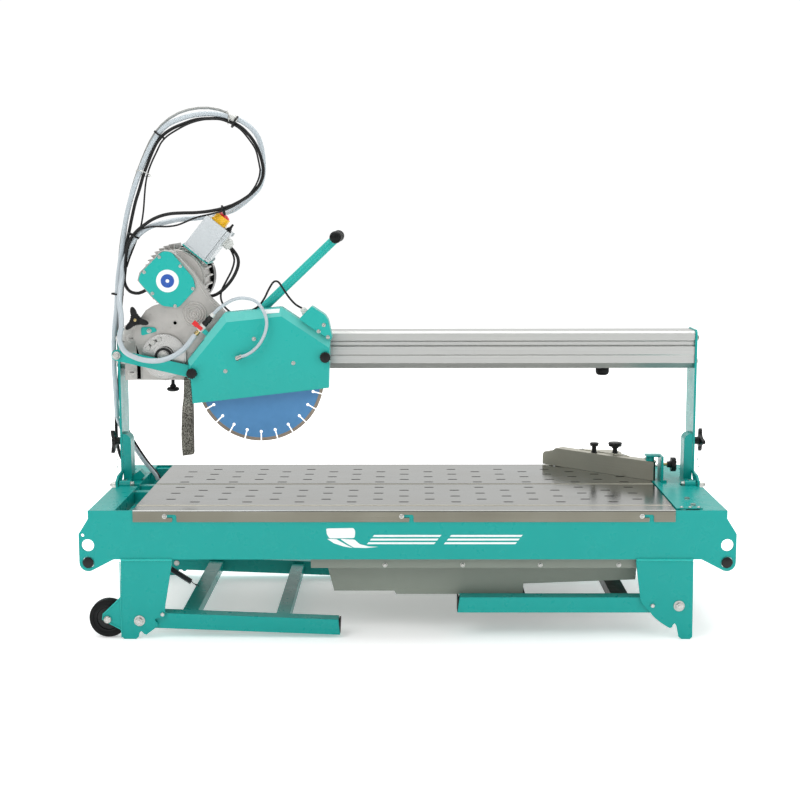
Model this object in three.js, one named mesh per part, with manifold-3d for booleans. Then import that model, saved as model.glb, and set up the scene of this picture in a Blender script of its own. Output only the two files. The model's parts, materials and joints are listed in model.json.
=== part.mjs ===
// Rail saw for stone and tile slabs: a folding base with a slotted table and a water tray, and a
// tilting bridge whose carriage holds a plunging cutting head. Millimetres, +Z up, +X right,
// -Y towards the operator. The origin is on the floor under the middle of the machine.
import * as THREE from 'three';
import { mergeVertices } from 'three/addons/utils/BufferGeometryUtils.js';
import Module from 'manifold-3d';

const wasm = await Module();
wasm.setup();

// ---- driving dimensions -------------------------------------------------------------------

const GAP = 0.3; // between pieces that touch
const SHEET = 5; // frame plate
const FRAME_HALF_DEPTH = 320; // outer face of each side plate
const FRAME_TOP = 337;
const FRAME_BOTTOM = 210; // lower edge of the side plates
const FRAME_INNER = FRAME_HALF_DEPTH - SHEET - GAP;

const TABLE = { left: -698, right: 681, top: 339.8, sheet: 2.5, apronBottom: 308 };
const SLOT = { front: 6, rear: 20 }; // the blade's slot between the table panels

const HINGE = { y: 13, z: 338, pin: 6, barrel: 12 }; // the line about which the bridge tilts
const POST = { inner: 800, outer: 806, front: 76, rear: 184 };
const TILT_BOLT = { y: 100, z: 447, radius: 5 };
const BEAM = { half: 799.6, front: 80, rear: 180, bottom: 653, top: 758, wall: 4 };

const CARRIAGE = { left: -783, right: -612, front: 60, rear: 204, bottom: 625, top: 776 };
const PIVOT = { x: -666, z: 696 }; // the head swings here
const ARBOR = { x: -402.7, z: 637 }; // the blade turns here
const MOTOR = { x: -636, z: 906, front: 57.3, fins: 205, back: 262, radius: 86 };
const ARM = { front: 21, rear: 57, wall: 6 };
const LINK_PIN = { x: -791, z: 701, radius: 7 };
const GUARD_PIN = { x: LINK_PIN.x + ARBOR.x - PIVOT.x, z: LINK_PIN.z + ARBOR.z - PIVOT.z };

const BLADE = { radius: 175, y: 13, thickness: 3, segments: 24, bore: 12.7 };
const GUARD = { front: -22, rear: 19, wall: 3, fold: -10 };

const LEG_TUBE = 40;
const LEG_LEFT = { x: -688, z: 48.7, length: 510, slope: -2.2 };
const LEG_RIGHT = { x: 696, z: 88, length: 561, slope: 0 };
const WHEEL = { x: -770, z: 52, radius: 50, width: 24 };

// ---- finishes -----------------------------------------------------------------------------

const finish = (color, roughness, metalness) =>
  new THREE.MeshStandardMaterial({ color, roughness, metalness });

const GREEN = finish(0x2cb0a7, 0.38, 0.1);
const STAINLESS = finish(0xa7a5a0, 0.35, 0.9);
const ALUMINIUM = finish(0xc9cac6, 0.4, 0.85);
const CASTING = finish(0xa3a3a2, 0.55, 0.7);
const ZINC = finish(0xb9bab8, 0.35, 0.9);
const GREY_PLASTIC = finish(0xa3a8a4, 0.6, 0);
const LIGHT_PLASTIC = finish(0xcdd2d4, 0.5, 0);
const BLACK_PLASTIC = finish(0x1a1b1d, 0.5, 0);
const RUBBER = finish(0x17181a, 0.8, 0);
const BLUE_STEEL = finish(0x5591c3, 0.4, 0.6);
const RED_PLASTIC = finish(0xc8202a, 0.4, 0);
const CLEAR_HOSE = finish(0xcfd8d8, 0.2, 0);
const BRISTLE = finish(0x77766f, 0.9, 0);

// ---- geometry helpers ---------------------------------------------------------------------

const rad = THREE.MathUtils.degToRad;
const point = (x, y) => new THREE.Vector2(x, y);
const polar = (cx, cy, r, degrees) =>
  point(cx + r * Math.cos(rad(degrees)), cy + r * Math.sin(rad(degrees)));

// Points on an arc from one angle to another, both ends included.
function arc(cx, cy, r, from, to, steps) {
  return Array.from({ length: steps + 1 }, (_, i) => polar(cx, cy, r, from + ((to - from) * i) / steps));
}

// A shape through the points, which always runs anticlockwise so that its holes come out as holes.
function outline(points) {
  const corners = points.map((p) => (p instanceof THREE.Vector2 ? p : point(...p)));
  return new THREE.Shape(THREE.ShapeUtils.isClockWise(corners) ? corners.reverse() : corners);
}

// A polygon with each corner cut by a short curve.
function rounded(corners, radius, steps = 3) {
  const n = corners.length;
  const all = corners.flatMap((c, i) => {
    const here = point(...c);
    const before = point(...corners[(i + n - 1) % n]);
    const after = point(...corners[(i + 1) % n]);
    const inward = before.clone().sub(here).setLength(Math.min(radius, before.distanceTo(here) / 2.2));
    const onward = after.clone().sub(here).setLength(Math.min(radius, after.distanceTo(here) / 2.2));
    const curve = new THREE.QuadraticBezierCurve(here.clone().add(inward), here, here.clone().add(onward));
    return curve.getPoints(steps);
  });
  return outline(all);
}

const ALONG_X = new THREE.Matrix4().makeBasis(
  new THREE.Vector3(0, 1, 0), new THREE.Vector3(0, 0, 1), new THREE.Vector3(1, 0, 0));

const extrude = (shape, depth) =>
  new THREE.ExtrudeGeometry(shape, { depth, bevelEnabled: false, curveSegments: 8 });

// A front-view outline in X and Z that fills the space from y0 to y1.
const plateXZ = (shape, y0, y1) => extrude(shape, y1 - y0).rotateX(Math.PI / 2).translate(0, y1, 0);
// A side-view outline in Y and Z that fills the space from x0 to x1.
const plateYZ = (shape, x0, x1) => extrude(shape, x1 - x0).applyMatrix4(ALONG_X).translate(x0, 0, 0);
// A plan outline in X and Y that fills the space from z0 to z1.
const plateXY = (shape, z0, z1) => extrude(shape, z1 - z0).translate(0, 0, z0);

const box = (x0, x1, y0, y1, z0, z1) =>
  new THREE.BoxGeometry(x1 - x0, y1 - y0, z1 - z0).translate((x0 + x1) / 2, (y0 + y1) / 2, (z0 + z1) / 2);

const rodX = (y, z, r, x0, x1, sides = 20) =>
  new THREE.CylinderGeometry(r, r, x1 - x0, sides).rotateZ(Math.PI / 2).translate((x0 + x1) / 2, y, z);
const rodY = (x, z, r, y0, y1, sides = 20) =>
  new THREE.CylinderGeometry(r, r, y1 - y0, sides).translate(x, (y0 + y1) / 2, z);
const rodZ = (x, y, r, z0, z1, sides = 20) =>
  new THREE.CylinderGeometry(r, r, z1 - z0, sides).rotateX(Math.PI / 2).translate(x, y, (z0 + z1) / 2);

// A turned solid about an axis along Y: the profile gives [radius, y], from axis to axis.
const turnedY = (x, z, profile, sides = 28) =>
  new THREE.LatheGeometry(profile.map(([r, y]) => point(r, y)), sides).translate(x, 0, z);

// The same about the Z axis: the profile gives [radius, z].
const turnedZ = (profile, sides = 24) =>
  new THREE.LatheGeometry(profile.map(([r, z]) => point(r, z)), sides).rotateX(Math.PI / 2);

// A round cord, hose or bent rod through the points, in world axes.
function cord(points, radius, sides = 8, steps = 48) {
  const path = new THREE.CatmullRomCurve3(points.map((p) => new THREE.Vector3(...p)), false, 'centripetal');
  const section = new THREE.Shape(arc(0, 0, radius, 0, 360 - 360 / sides, sides - 1));
  return new THREE.ExtrudeGeometry(section, { steps, bevelEnabled: false, extrudePath: path });
}

// A solid between two polygons of as many corners, one in the plane y0 and one in the plane y1.
function loftXZ(cornersA, y0, cornersB, y1) {
  const n = cornersA.length;
  const positions = [...cornersA.map(([x, z]) => [x, y0, z]), ...cornersB.map(([x, z]) => [x, y1, z])].flat();
  const caps = THREE.ShapeUtils.triangulateShape(cornersA.map((c) => point(...c)), []);
  const index = [];
  for (const [a, b, c] of caps) index.push(a, b, c, n + c, n + b, n + a);
  for (let i = 0; i < n; i++) {
    const j = (i + 1) % n;
    index.push(i, n + i, n + j, i, n + j, j);
  }
  const geometry = new THREE.BufferGeometry();
  geometry.setAttribute('position', new THREE.Float32BufferAttribute(positions, 3));
  geometry.setIndex(index);
  return geometry;
}

// ---- joining and cutting ------------------------------------------------------------------

function solid(geometry) {
  if (!(geometry instanceof THREE.BufferGeometry)) return geometry;
  const bare = geometry.clone();
  bare.deleteAttribute('normal');
  bare.deleteAttribute('uv');
  const merged = mergeVertices(bare, 1e-4);
  const vertProperties = new Float32Array(merged.attributes.position.array);
  const corners = [...merged.index.array];
  const triVerts = new Uint32Array(corners.length);
  let used = 0;
  for (let i = 0; i < corners.length; i += 3) {
    const [a, b, c] = corners.slice(i, i + 3);
    if (a === b || b === c || c === a) continue; // a triangle that closed up at an axis
    triVerts.set([a, b, c], used);
    used += 3;
  }
  const faces = triVerts.slice(0, used);
  const made = new wasm.Manifold(new wasm.Mesh({ numProp: 3, vertProperties, triVerts: faces }));
  if (made.volume() > 0) return made;
  faces.reverse(); // a profile turned the other way round gives faces that point inwards
  return new wasm.Manifold(new wasm.Mesh({ numProp: 3, vertProperties, triVerts: faces }));
}

const join = (...pieces) => pieces.map(solid).reduce((a, b) => a.add(b));
const cut = (body, ...tools) => tools.map(solid).reduce((a, b) => a.subtract(b), solid(body));

function geometryOf(body) {
  const { vertProperties, triVerts } = body.getMesh();
  const geometry = new THREE.BufferGeometry();
  geometry.setAttribute('position', new THREE.BufferAttribute(new Float32Array(vertProperties), 3));
  geometry.setIndex(new THREE.BufferAttribute(new Uint32Array(triVerts), 1));
  return geometry;
}

const mirroredX = (body) => geometryOf(solid(body).mirror([1, 0, 0]));
const mirroredY = (body) => geometryOf(solid(body).mirror([0, 1, 0]));

const saw = new THREE.Group();

function part(group, name, material, body) {
  const geometry = geometryOf(solid(body));
  geometry.computeVertexNormals();
  const mesh = new THREE.Mesh(geometry, material);
  mesh.name = name;
  group.add(mesh);
  return mesh;
}

// ---- base frame ---------------------------------------------------------------------------

function sidePlate() {
  const leftEnd = [
    point(-750, FRAME_BOTTOM), ...arc(-815, 202, 23, -70, -180, 8),
    point(-838, 276), point(-813, 316), point(-813, FRAME_TOP),
  ];
  const rightEnd = leftEnd.map((p) => point(-p.x, p.y)).reverse();
  const underTable = TABLE.top - TABLE.sheet - GAP;
  const top = [
    [TABLE.left - 2, FRAME_TOP], [TABLE.left - 2, underTable],
    [TABLE.right + 2, underTable], [TABLE.right + 2, FRAME_TOP],
  ];
  const shape = outline([...leftEnd, ...top, ...rightEnd]);
  const plate = plateXZ(shape, -FRAME_HALF_DEPTH, -FRAME_HALF_DEPTH + SHEET);
  const holes = [-1, 1].flatMap((side) => [
    rodY(side * 815, 247, 16, -330, -300, 20),
    rodY(side * 815, 202, 15.2, -330, -300, 20),
  ]);
  return cut(plate, ...holes, rodY(-828, 273, 4.5, -330, -300, 12));
}

// The plate foot that the machine stands on while its legs are folded, with the leg's pivot bolt.
function footPlate(corners, pivot, extras) {
  const plate = plateXZ(rounded(corners, 6, 1), -FRAME_HALF_DEPTH, -FRAME_HALF_DEPTH + SHEET);
  const bolt = join(
    rodY(pivot.x, pivot.z, 8, -FRAME_HALF_DEPTH, -270, 16),
    rodY(pivot.x, pivot.z, 13, -FRAME_HALF_DEPTH - 2, -FRAME_HALF_DEPTH + 1, 20),
    rodY(pivot.x, pivot.z, 9, -FRAME_HALF_DEPTH - 8, -FRAME_HALF_DEPTH, 6),
  );
  return join(plate, bolt, ...extras);
}

function leftFoot() {
  const z = FRAME_BOTTOM - GAP;
  const corners = [
    [-733, z], [-600, z], [-623, 78], [-621, 56], [-648, 56], [-650, 47], [-637, 40], [-650, 27], [-676, 8],
    [-680, 21], [-689, 21], [-692, 0], [-734, 0], [-736, 26], [-766, 42], [-784, 52], [-782, 66], [-734, 112],
  ];
  const axle = join(
    rodY(WHEEL.x, WHEEL.z, 6, -FRAME_HALF_DEPTH, -280, 16),
    rodY(WHEEL.x, WHEEL.z, 9, -FRAME_HALF_DEPTH - 6, -FRAME_HALF_DEPTH + 1, 6),
  );
  const latch = rodY(-628, 66, 5, -FRAME_HALF_DEPTH - 5, -FRAME_HALF_DEPTH + 1, 12);
  return footPlate(corners, LEG_LEFT, [axle, latch]);
}

function rightFoot() {
  const z = FRAME_BOTTOM - GAP;
  const corners = [
    [583, z], [730, z], [732, 0], [698, 0], [690, 40], [682, 43], [679, 26], [655, 40], [632, 58], [619, 76],
    [598, 97],
  ];
  return footPlate(corners, LEG_RIGHT, [rodY(628, 89, 5, -FRAME_HALF_DEPTH - 5, -FRAME_HALF_DEPTH + 1, 12)]);
}

// The box rail across each end. Its outer edge steps in where the bridge post swings past.
function endRail() {
  const inner = 745;
  const recess = 797;
  const outer = 812;
  const [swingFront, swingRear] = [-22, 262];
  const hinged = join(
    box(inner, recess, -FRAME_INNER, FRAME_INNER, 297, FRAME_TOP),
    box(recess - 1, outer, -FRAME_INNER, swingFront, FRAME_TOP - 6, FRAME_TOP),
    box(recess - 1, outer, swingRear, FRAME_INNER, FRAME_TOP - 6, FRAME_TOP),
  );
  const cradle = box(inner - 1, outer, HINGE.y - 13, HINGE.y + 13, HINGE.z - 13, FRAME_TOP + 1);
  const hollow = (y0, y1) => box(inner + 3, recess - 4, y0, y1, 296, FRAME_TOP - 4);
  return cut(hinged, cradle, hollow(-FRAME_INNER + 3, -20), hollow(46, FRAME_INNER - 3));
}

// Two long rails under the table with their cross members, welded into one ladder.
function tableFrame() {
  const end = 744.7;
  const railInner = 288;
  const wall = 3;
  const top = TABLE.top - TABLE.sheet - GAP;
  const railEnds = [TABLE.left - 2, TABLE.right + 2];
  const rails = [-1, 1].flatMap((side) => {
    const [a, b] = side < 0 ? [-FRAME_INNER, -railInner] : [railInner, FRAME_INNER];
    const rail = join(box(-end, end, a, b, 297, 331), box(railEnds[0], railEnds[1], a, b, 330, top));
    return cut(rail, box(-end + wall, end - wall, a + wall, b - wall, 296, 328));
  });
  const members = [-430, 0, 430].map((x) =>
    cut(
      box(x - 20, x + 20, -railInner - 1, railInner + 1, 293, top),
      box(x - 21, x + 21, -14, 40, 312, 345),
      box(x - 20 + wall, x + 20 - wall, -railInner, -24, 292, top - wall),
      box(x - 20 + wall, x + 20 - wall, 50, railInner, 292, top - wall),
    ));
  const ties = [[-52, -22], [34, 62]].map(([a, b]) => box(-end, -429, a, b, 300, 330));
  return join(...rails, ...members, ...ties);
}

// Half of the table top, from the blade's slot to its turned-down apron at the front or the rear.
function tablePanel(side, slotEdge) {
  const { left, right, top, sheet, apronBottom } = TABLE;
  const face = side * (FRAME_HALF_DEPTH + GAP + sheet);
  const across = (a, b, z0, z1) => box(left, right, Math.min(a, b), Math.max(a, b), z0, z1);
  return join(
    across(slotEdge, face, top - sheet, top),
    across(face - side * sheet, face, apronBottom, top - sheet + 1),
  );
}

// The water tray: a wide shallow pan under the table, a lipped well and a narrower sump below it.
function waterTray() {
  const wall = 4;
  const [rim, floor, lip] = [250, 214, 184];
  const layer = (x0, x1, inset, z0, z1) =>
    box(x0 + inset, x1 - inset, -305 + inset, 305 - inset, z0, z1);
  const sump = (inset) => plateXZ(outline([
    [-210 + inset, lip + 6], [-190 + inset, 112 + inset], [-34 + inset, 112 + inset],
    [-29 + inset, 103 + inset], [300 - inset, 103 + inset], [302 - inset, 131 + inset],
    [592 - inset, 142 + inset], [596 - inset, lip + 6],
  ]), -262 + inset, 262 - inset);
  const outside = join(layer(-690, 676, 0, floor, rim), layer(-247, 600, 0, lip, floor + 1), sump(0));
  const pan = layer(-690, 676, wall, floor + wall, rim + 1);
  const well = layer(-247, 600, wall, lip + wall, floor + wall + 2);
  return cut(outside, pan, well, sump(wall));
}

function pump() {
  const [x, y] = [170, 120];
  return join(
    rodZ(x, y, 48, 107.5, 118, 24), rodZ(x, y, 38, 117, 178, 24), rodZ(x, y, 24, 177, 190, 20),
    rodX(y, 132, 9, x, x + 70, 12),
  );
}

const carryBar = () => cut(rodY(-815, 202, 14.5, -322, 322, 20), rodY(-815, 202, 12, -323, 323, 16));

// The fixed upright that the post is clamped to, with the hinge barrel and its through bolt.
function tiltBracket(wedges) {
  const [inner, outer] = [-775.6, -799];
  const [front, rear] = [74, 125];
  const seat = FRAME_TOP + GAP;
  const [crown, wall] = [470, 4];
  const shell = outline([
    [outer, seat], [inner, seat], [inner, crown - 20],
    ...arc(inner - 20, crown - 20, 20, 15, 90, 4), [outer, crown],
  ]);
  const hollow = outline([
    [outer - 1, seat + 5], [inner - 5, seat + 5], [inner - 5, crown - 22],
    [inner - 12, crown - 9], [inner - 20, crown - 5], [outer - 1, crown - 5],
  ]);
  const upright = cut(
    plateXZ(shell, front, rear),
    plateXZ(hollow, front + wall, rear - wall),
    box(outer - 1, inner - 5, rear - 6, rear + 1, 400, 438),
  );
  const seatPlate = box(outer, inner, HINGE.y - 10, rear, seat, seat + 5);
  const barrel = rodX(HINGE.y, HINGE.z, HINGE.barrel, outer, -767, 18);
  const pin = join(
    rodX(HINGE.y, HINGE.z, HINGE.pin, -824, -760, 16), rodX(HINGE.y, HINGE.z, 9, -768, -758, 6),
    rodX(HINGE.y, HINGE.z, 10, -818, -808, 6),
  );
  return join(upright, seatPlate, barrel, pin, ...wedges);
}

// The block beside the left upright that the bridge comes down on when it is tilted.
function wedge() {
  const seat = FRAME_TOP + GAP;
  return plateXZ(outline([[-776, 350], [-754, 366], [-740, 350], [-752, seat], [-776, seat]]), 82, 112);
}

// The guide that the fence slides on, along the table's right edge.
function fenceGuide() {
  const z = FRAME_TOP + GAP;
  return join(
    box(689, 753, -305, 305, z, TABLE.top), box(686, 690, -305, 305, 331.3, TABLE.top),
    ...[-270, -190, 190, 270].map((y) => rodZ(735, y, 7, z + 1, z + 7, 6)),
  );
}

const base = new THREE.Group();
part(base, 'side_plate_front', GREEN, sidePlate());
part(base, 'side_plate_rear', GREEN, mirroredY(sidePlate()));
part(base, 'foot_plate_front_left', GREEN, leftFoot());
part(base, 'foot_plate_front_right', GREEN, rightFoot());
part(base, 'foot_plate_rear_left', GREEN, mirroredY(leftFoot()));
part(base, 'foot_plate_rear_right', GREEN, mirroredY(rightFoot()));
part(base, 'end_rail_left', GREEN, mirroredX(endRail()));
part(base, 'end_rail_right', GREEN, endRail());
part(base, 'table_frame', GREEN, tableFrame());
part(base, 'table_panel_front', STAINLESS, tablePanel(-1, SLOT.front));
part(base, 'table_panel_rear', STAINLESS, tablePanel(1, SLOT.rear));
part(base, 'water_tray', GREY_PLASTIC, waterTray());
part(base, 'pump', BLACK_PLASTIC, pump());
part(base, 'carry_bar_left', GREEN, carryBar());
part(base, 'carry_bar_right', GREEN, mirroredX(carryBar()));
part(base, 'tilt_bracket_left', GREEN, tiltBracket([wedge()]));
part(base, 'tilt_bracket_right', GREEN, mirroredX(tiltBracket([])));
part(base, 'fence_guide', GREEN, fenceGuide());

// ---- folding legs and wheels --------------------------------------------------------------

// A pair of legs in their own frame: the pivot is the origin and they point along +X.
function legPair(length, crossbars) {
  const [outer, inner] = [FRAME_INNER - 2.5, FRAME_INNER - 2.5 - LEG_TUBE];
  const half = LEG_TUBE / 2;
  const wall = 2.5;
  const side = outline([
    ...arc(0, 0, half, 270, 90, 8), point(length, half), point(length + 6, -half),
  ]);
  const tubes = [plateXZ(side, -outer, -inner), plateXZ(side, inner, outer)];
  const bars = crossbars.map(([from, to]) => cut(
    box(from, to, -inner - 1, inner + 1, -half + 4, half - 8),
    box(from + wall, to - wall, -inner, inner, -half + 3, half - 8 - wall),
  ));
  const bores = [-1, 1].map((sign) => {
    const [a, b] = [sign * (inner + wall), sign * (outer - wall)].sort((m, n) => m - n);
    return box(half + 4, length + 10, a, b, -half + wall, half - wall);
  });
  return cut(join(...tubes, ...bars), rodY(0, 0, 8.4, -320, 320, 16), ...bores);
}

function placedLegs(name, leg, mirrored, crossbars) {
  const pair = legPair(leg.length, crossbars);
  const mesh = part(saw, name, GREEN, mirrored ? mirroredX(pair) : pair);
  mesh.position.set(leg.x, 0, leg.z);
  mesh.rotation.y = rad(-leg.slope);
}

placedLegs('legs_left', LEG_LEFT, false, [[100, 140], [345, 380]]);
placedLegs('legs_right', LEG_RIGHT, true, [[120, 165], [388, 416]]);

function wheel() {
  const half = WHEEL.width / 2;
  const profile = [
    [6.4, -half - 2], [16, -half - 2], [17, -half + 5], [37, -half + 4], [40, -half], [50, -half + 5],
    [50, half - 5], [40, half], [37, half - 4], [17, half - 5], [16, half + 2], [6.4, half + 2],
    [6.4, -half - 2],
  ];
  return turnedY(0, 0, profile, 24);
}

for (const [name, side] of [['wheel_front', -1], ['wheel_rear', 1]]) {
  const mesh = part(saw, name, RUBBER, wheel());
  mesh.position.set(WHEEL.x, side * 299, WHEEL.z);
}

// The legs' return spring, drawn between the frame and the first crossbar.
part(saw, 'leg_spring', ZINC, cord([[-640, -232, 168], [-610, -232, 122], [-578, -232, 76]], 8, 10, 4));

// ---- bridge -------------------------------------------------------------------------------

const bridge = new THREE.Group();

function post() {
  const { front, rear } = POST;
  const edge = [
    [front, 366], [front, 753], [front + 8, 761], [rear - 8, 761], [rear, 753], [rear, 470],
    [150, 428], [60, 340], [30, 326],
  ];
  const foot = arc(HINGE.y, HINGE.z, 18, -60, -180, 6);
  return cut(
    plateYZ(outline([...edge, ...foot, [-5, 350], [20, 362]]), -POST.outer, -POST.inner),
    rodX(HINGE.y, HINGE.z, HINGE.pin + 0.5, -830, -780, 20),
    rodX(TILT_BOLT.y, TILT_BOLT.z, TILT_BOLT.radius + 0.5, -830, -780, 16),
  );
}

// The hollow rail: chamfered edges, a guide groove and a ridge along its front and rear faces.
function beam() {
  const { front, rear, top, bottom, wall } = BEAM;
  const groove = 7;
  const face = [
    [16, bottom], [1.5, bottom + 16], [1.5, bottom + 37], [0, bottom + 40], [0, bottom + 62],
    [groove, bottom + 66], [groove, bottom + 75], [0, bottom + 79], [0, top - 6], [6, top],
  ];
  const outer = [
    ...face.map(([depth, z]) => [front + depth, z]),
    ...face.map(([depth, z]) => [rear - depth, z]).reverse(),
  ];
  const core = new THREE.Path([
    [front + 20, bottom + wall], [front + 13, bottom + 20], [front + 13, top - 20], [front + 18, top - wall],
    [rear - 18, top - wall], [rear - 13, top - 20], [rear - 13, bottom + 20], [rear - 20, bottom + wall],
  ].map((p) => point(...p)));
  const profile = outline(outer);
  profile.holes.push(core);
  return plateYZ(profile, -BEAM.half, BEAM.half);
}

// The rubber block under the beam that the carriage's arm runs against.
function beamStop() {
  const [left, right, low, high] = [530, 571, 630, BEAM.bottom - GAP];
  return plateXZ(rounded([[left, low], [right, low], [right, high], [left, high]], 3, 1), 110, 150);
}

const CABLE_PLANE = 135; // depth of the rod and of the cables tied to it

// The steel rod that carries the cables up and over, clamped to the left post.
function cableRod() {
  const route = [
    [-815, 640], [-815, 760], [-811, 850], [-803, 980], [-781, 1092], [-748, 1198],
    [-694, 1308], [-643, 1352], [-588, 1370], [-532, 1370], [-492, 1357],
  ].map(([x, z]) => [x, CABLE_PLANE, z]);
  const clamps = [660, 740].map((z) =>
    box(-820, -POST.outer - GAP, CABLE_PLANE - 4, CABLE_PLANE + 13, z - 6, z + 6));
  return join(cord(route, 4, 6, 32), ...clamps);
}

// The supply cables: from the frame's end up beside the post, and along the rod to its tip.
function supplyLead() {
  const y = CABLE_PLANE - 16;
  const main = [
    [-803, 216, FRAME_TOP + 1], [-804, 215.5, FRAME_TOP + 18], [-818, 206, 385], [-828, 186, 440],
    [-828, 158, 510], [-826, 130, 580], [-824, y, 650], [-822, y, 800], [-806, y, 900], [-797, y, 1000],
    [-776, y, 1074], [-757, y, 1142], [-733, y, 1200], [-709, y, 1250], [-680, y, 1292],
    [-638, y, 1322], [-588, y, 1340], [-541, y, 1344], [-497, y, 1338],
  ];
  const pumpBranch = [
    [-828, 158, 510], [-826, 182, 482], [-818, 200, 455], [-798, 200, 424], [-764, 196, 372],
    [-728, 186, 330], [-722, 184, 318],
  ];
  return join(cord(main, 9, 8, 36), cord(pumpBranch, 6, 8, 12));
}

part(bridge, 'post_left', GREEN, post());
part(bridge, 'post_right', GREEN, mirroredX(post()));
part(bridge, 'beam', ALUMINIUM, beam());
part(bridge, 'beam_stop', RUBBER, beamStop());
part(bridge, 'cable_rod', ZINC, cableRod());
part(bridge, 'supply_lead', RUBBER, supplyLead());

// A three-armed clamping knob, its bolt along -Z and its arms swept away from the bolt.
function armKnob(reach, boltLength, boltRadius) {
  const arms = [90, 210, 330].flatMap((angle) => [
    ...arc(0, 0, 11, angle - 42, angle - 38, 1),
    ...arc(reach * Math.cos(rad(angle)), reach * Math.sin(rad(angle)), 5, angle - 70, angle + 70, 3),
    ...arc(0, 0, 11, angle + 38, angle + 42, 1),
  ]);
  return join(
    extrude(outline(arms), 11).translate(0, 0, 16),
    rodZ(0, 0, 11, 0, 20, 20),
    rodZ(0, 0, boltRadius, -boltLength, 1, 14),
  );
}

for (const [name, side] of [['tilt_knob_left', -1], ['tilt_knob_right', 1]]) {
  const mesh = part(bridge, name, BLACK_PLASTIC, armKnob(34, 20, TILT_BOLT.radius));
  mesh.position.set(side * (POST.outer + GAP), TILT_BOLT.y, TILT_BOLT.z);
  mesh.rotation.y = side * rad(90);
}

// ---- carriage -----------------------------------------------------------------------------

const carriage = new THREE.Group();

// A cast ring around the beam, with the lug of the guard link and the arm that meets the stop.
function carriageCasting() {
  const { left, right, front, rear, bottom, top } = CARRIAGE;
  const ring = outline([
    [front, bottom], [rear, bottom], [rear, top - 8], [rear - 8, top], [front + 8, top], [front, top - 8],
  ]);
  ring.holes.push(new THREE.Path([
    [front + 17, bottom + 16], [front + 17, top - 14], [rear - 17, top - 14], [rear - 17, bottom + 16],
  ].map((p) => point(...p))));
  return join(
    plateYZ(ring, left, right),
    box(right - 1, -432, 112, 148, bottom, bottom + 16),
    box(-799, left + 1, front, front + 15, LINK_PIN.z - 14, LINK_PIN.z + 14),
    rodY(LINK_PIN.x, LINK_PIN.z, LINK_PIN.radius, -12, front + 1, 16),
    rodY(LINK_PIN.x, LINK_PIN.z, 11, -16, -9, 20),
    ...[742, 647].map((z) => rodY(-764, z, 12, front - 2.5, front + 1, 6)),
  );
}

// The shaft that the head swings on, with the slotted disc of the depth stop in front of the arm.
function pivotShaft() {
  const disc = outline(arc(PIVOT.x, PIVOT.z, 61, 0, 348, 29));
  const slot = [
    ...arc(PIVOT.x, PIVOT.z, 44, 158, 98, 6), ...arc(PIVOT.x, PIVOT.z, 52, 98, 158, 6),
  ];
  disc.holes.push(new THREE.Path(slot));
  return join(
    plateXZ(disc, 12, 20.6), rodY(PIVOT.x, PIVOT.z, 26, 7, 13, 20), rodY(PIVOT.x, PIVOT.z, 14.6, 2, 8, 20),
    rodY(PIVOT.x, PIVOT.z, 14, 7, CARRIAGE.front - GAP, 20),
  );
}

part(carriage, 'carriage_casting', CASTING, carriageCasting());
part(carriage, 'pivot_shaft', CASTING, pivotShaft());

const lockKnob = part(carriage, 'lock_knob', BLACK_PLASTIC, join(
  rodZ(0, 0, 5, -1, 13, 14), rodZ(0, 0, 8, -12, 0, 16), rodZ(0, 0, 18, -22, -11, 24)));
lockKnob.position.set(-656, 90, CARRIAGE.bottom - 14);

// ---- cutting head -------------------------------------------------------------------------

const head = new THREE.Group();

function armOutline() {
  return outline([
    [-675, 978], [-661, 986], [-633, 981], [-581, 927], [-563, 894], [-540, 858], [-514, 832],
    ...arc(ARBOR.x, ARBOR.z, 44, 41, -120, 10),
    ...arc(PIVOT.x, PIVOT.z, 68, -60, -180, 8),
    [-752, 758], [-738, 789], [-714, 822], [-697, 833], [-676, 838], [-700, 860], [-735, 903],
    [-729, 925],
  ]);
}

// The space for the belt and its two pulleys: a slot with round ends along the line of centres.
function beltOutline(radius) {
  const angle = THREE.MathUtils.radToDeg(Math.atan2(ARBOR.z - MOTOR.z, ARBOR.x - MOTOR.x));
  return [
    ...arc(MOTOR.x, MOTOR.z, radius, angle + 90, angle + 270, 12),
    ...arc(ARBOR.x, ARBOR.z, radius, angle - 90, angle + 90, 12),
  ];
}

function armCasting() {
  const body = plateXZ(armOutline(), ARM.front, ARM.rear);
  return cut(
    body,
    plateXZ(outline(beltOutline(32)), ARM.front + ARM.wall, ARM.rear - ARM.wall),
    rodY(MOTOR.x, MOTOR.z, 32, ARM.front - 1, ARM.front + ARM.wall + 1, 28),
    rodY(MOTOR.x, MOTOR.z, 12, 40, 60, 20),
    rodY(ARBOR.x, ARBOR.z, 14, 10, 60, 20),
    rodY(PIVOT.x, PIVOT.z, 14.6, 10, 60, 20),
  );
}

const COVER = [
  [-661, 983], [-640, 980], [-582, 910], [-576, 880], [-624, 829], [-668, 834], [-694, 859], [-732, 902],
  [-726, 922], [-672, 975],
];

function driveBelt() {
  const loop = outline(beltOutline(29));
  loop.holes.push(new THREE.Path(beltOutline(26.3)));
  return plateXZ(loop, 32, 46);
}

const motorPulley = () => join(rodY(0, 0, 26, 31, 47, 28), rodY(0, 0, 10, 30, 72, 20));

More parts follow.
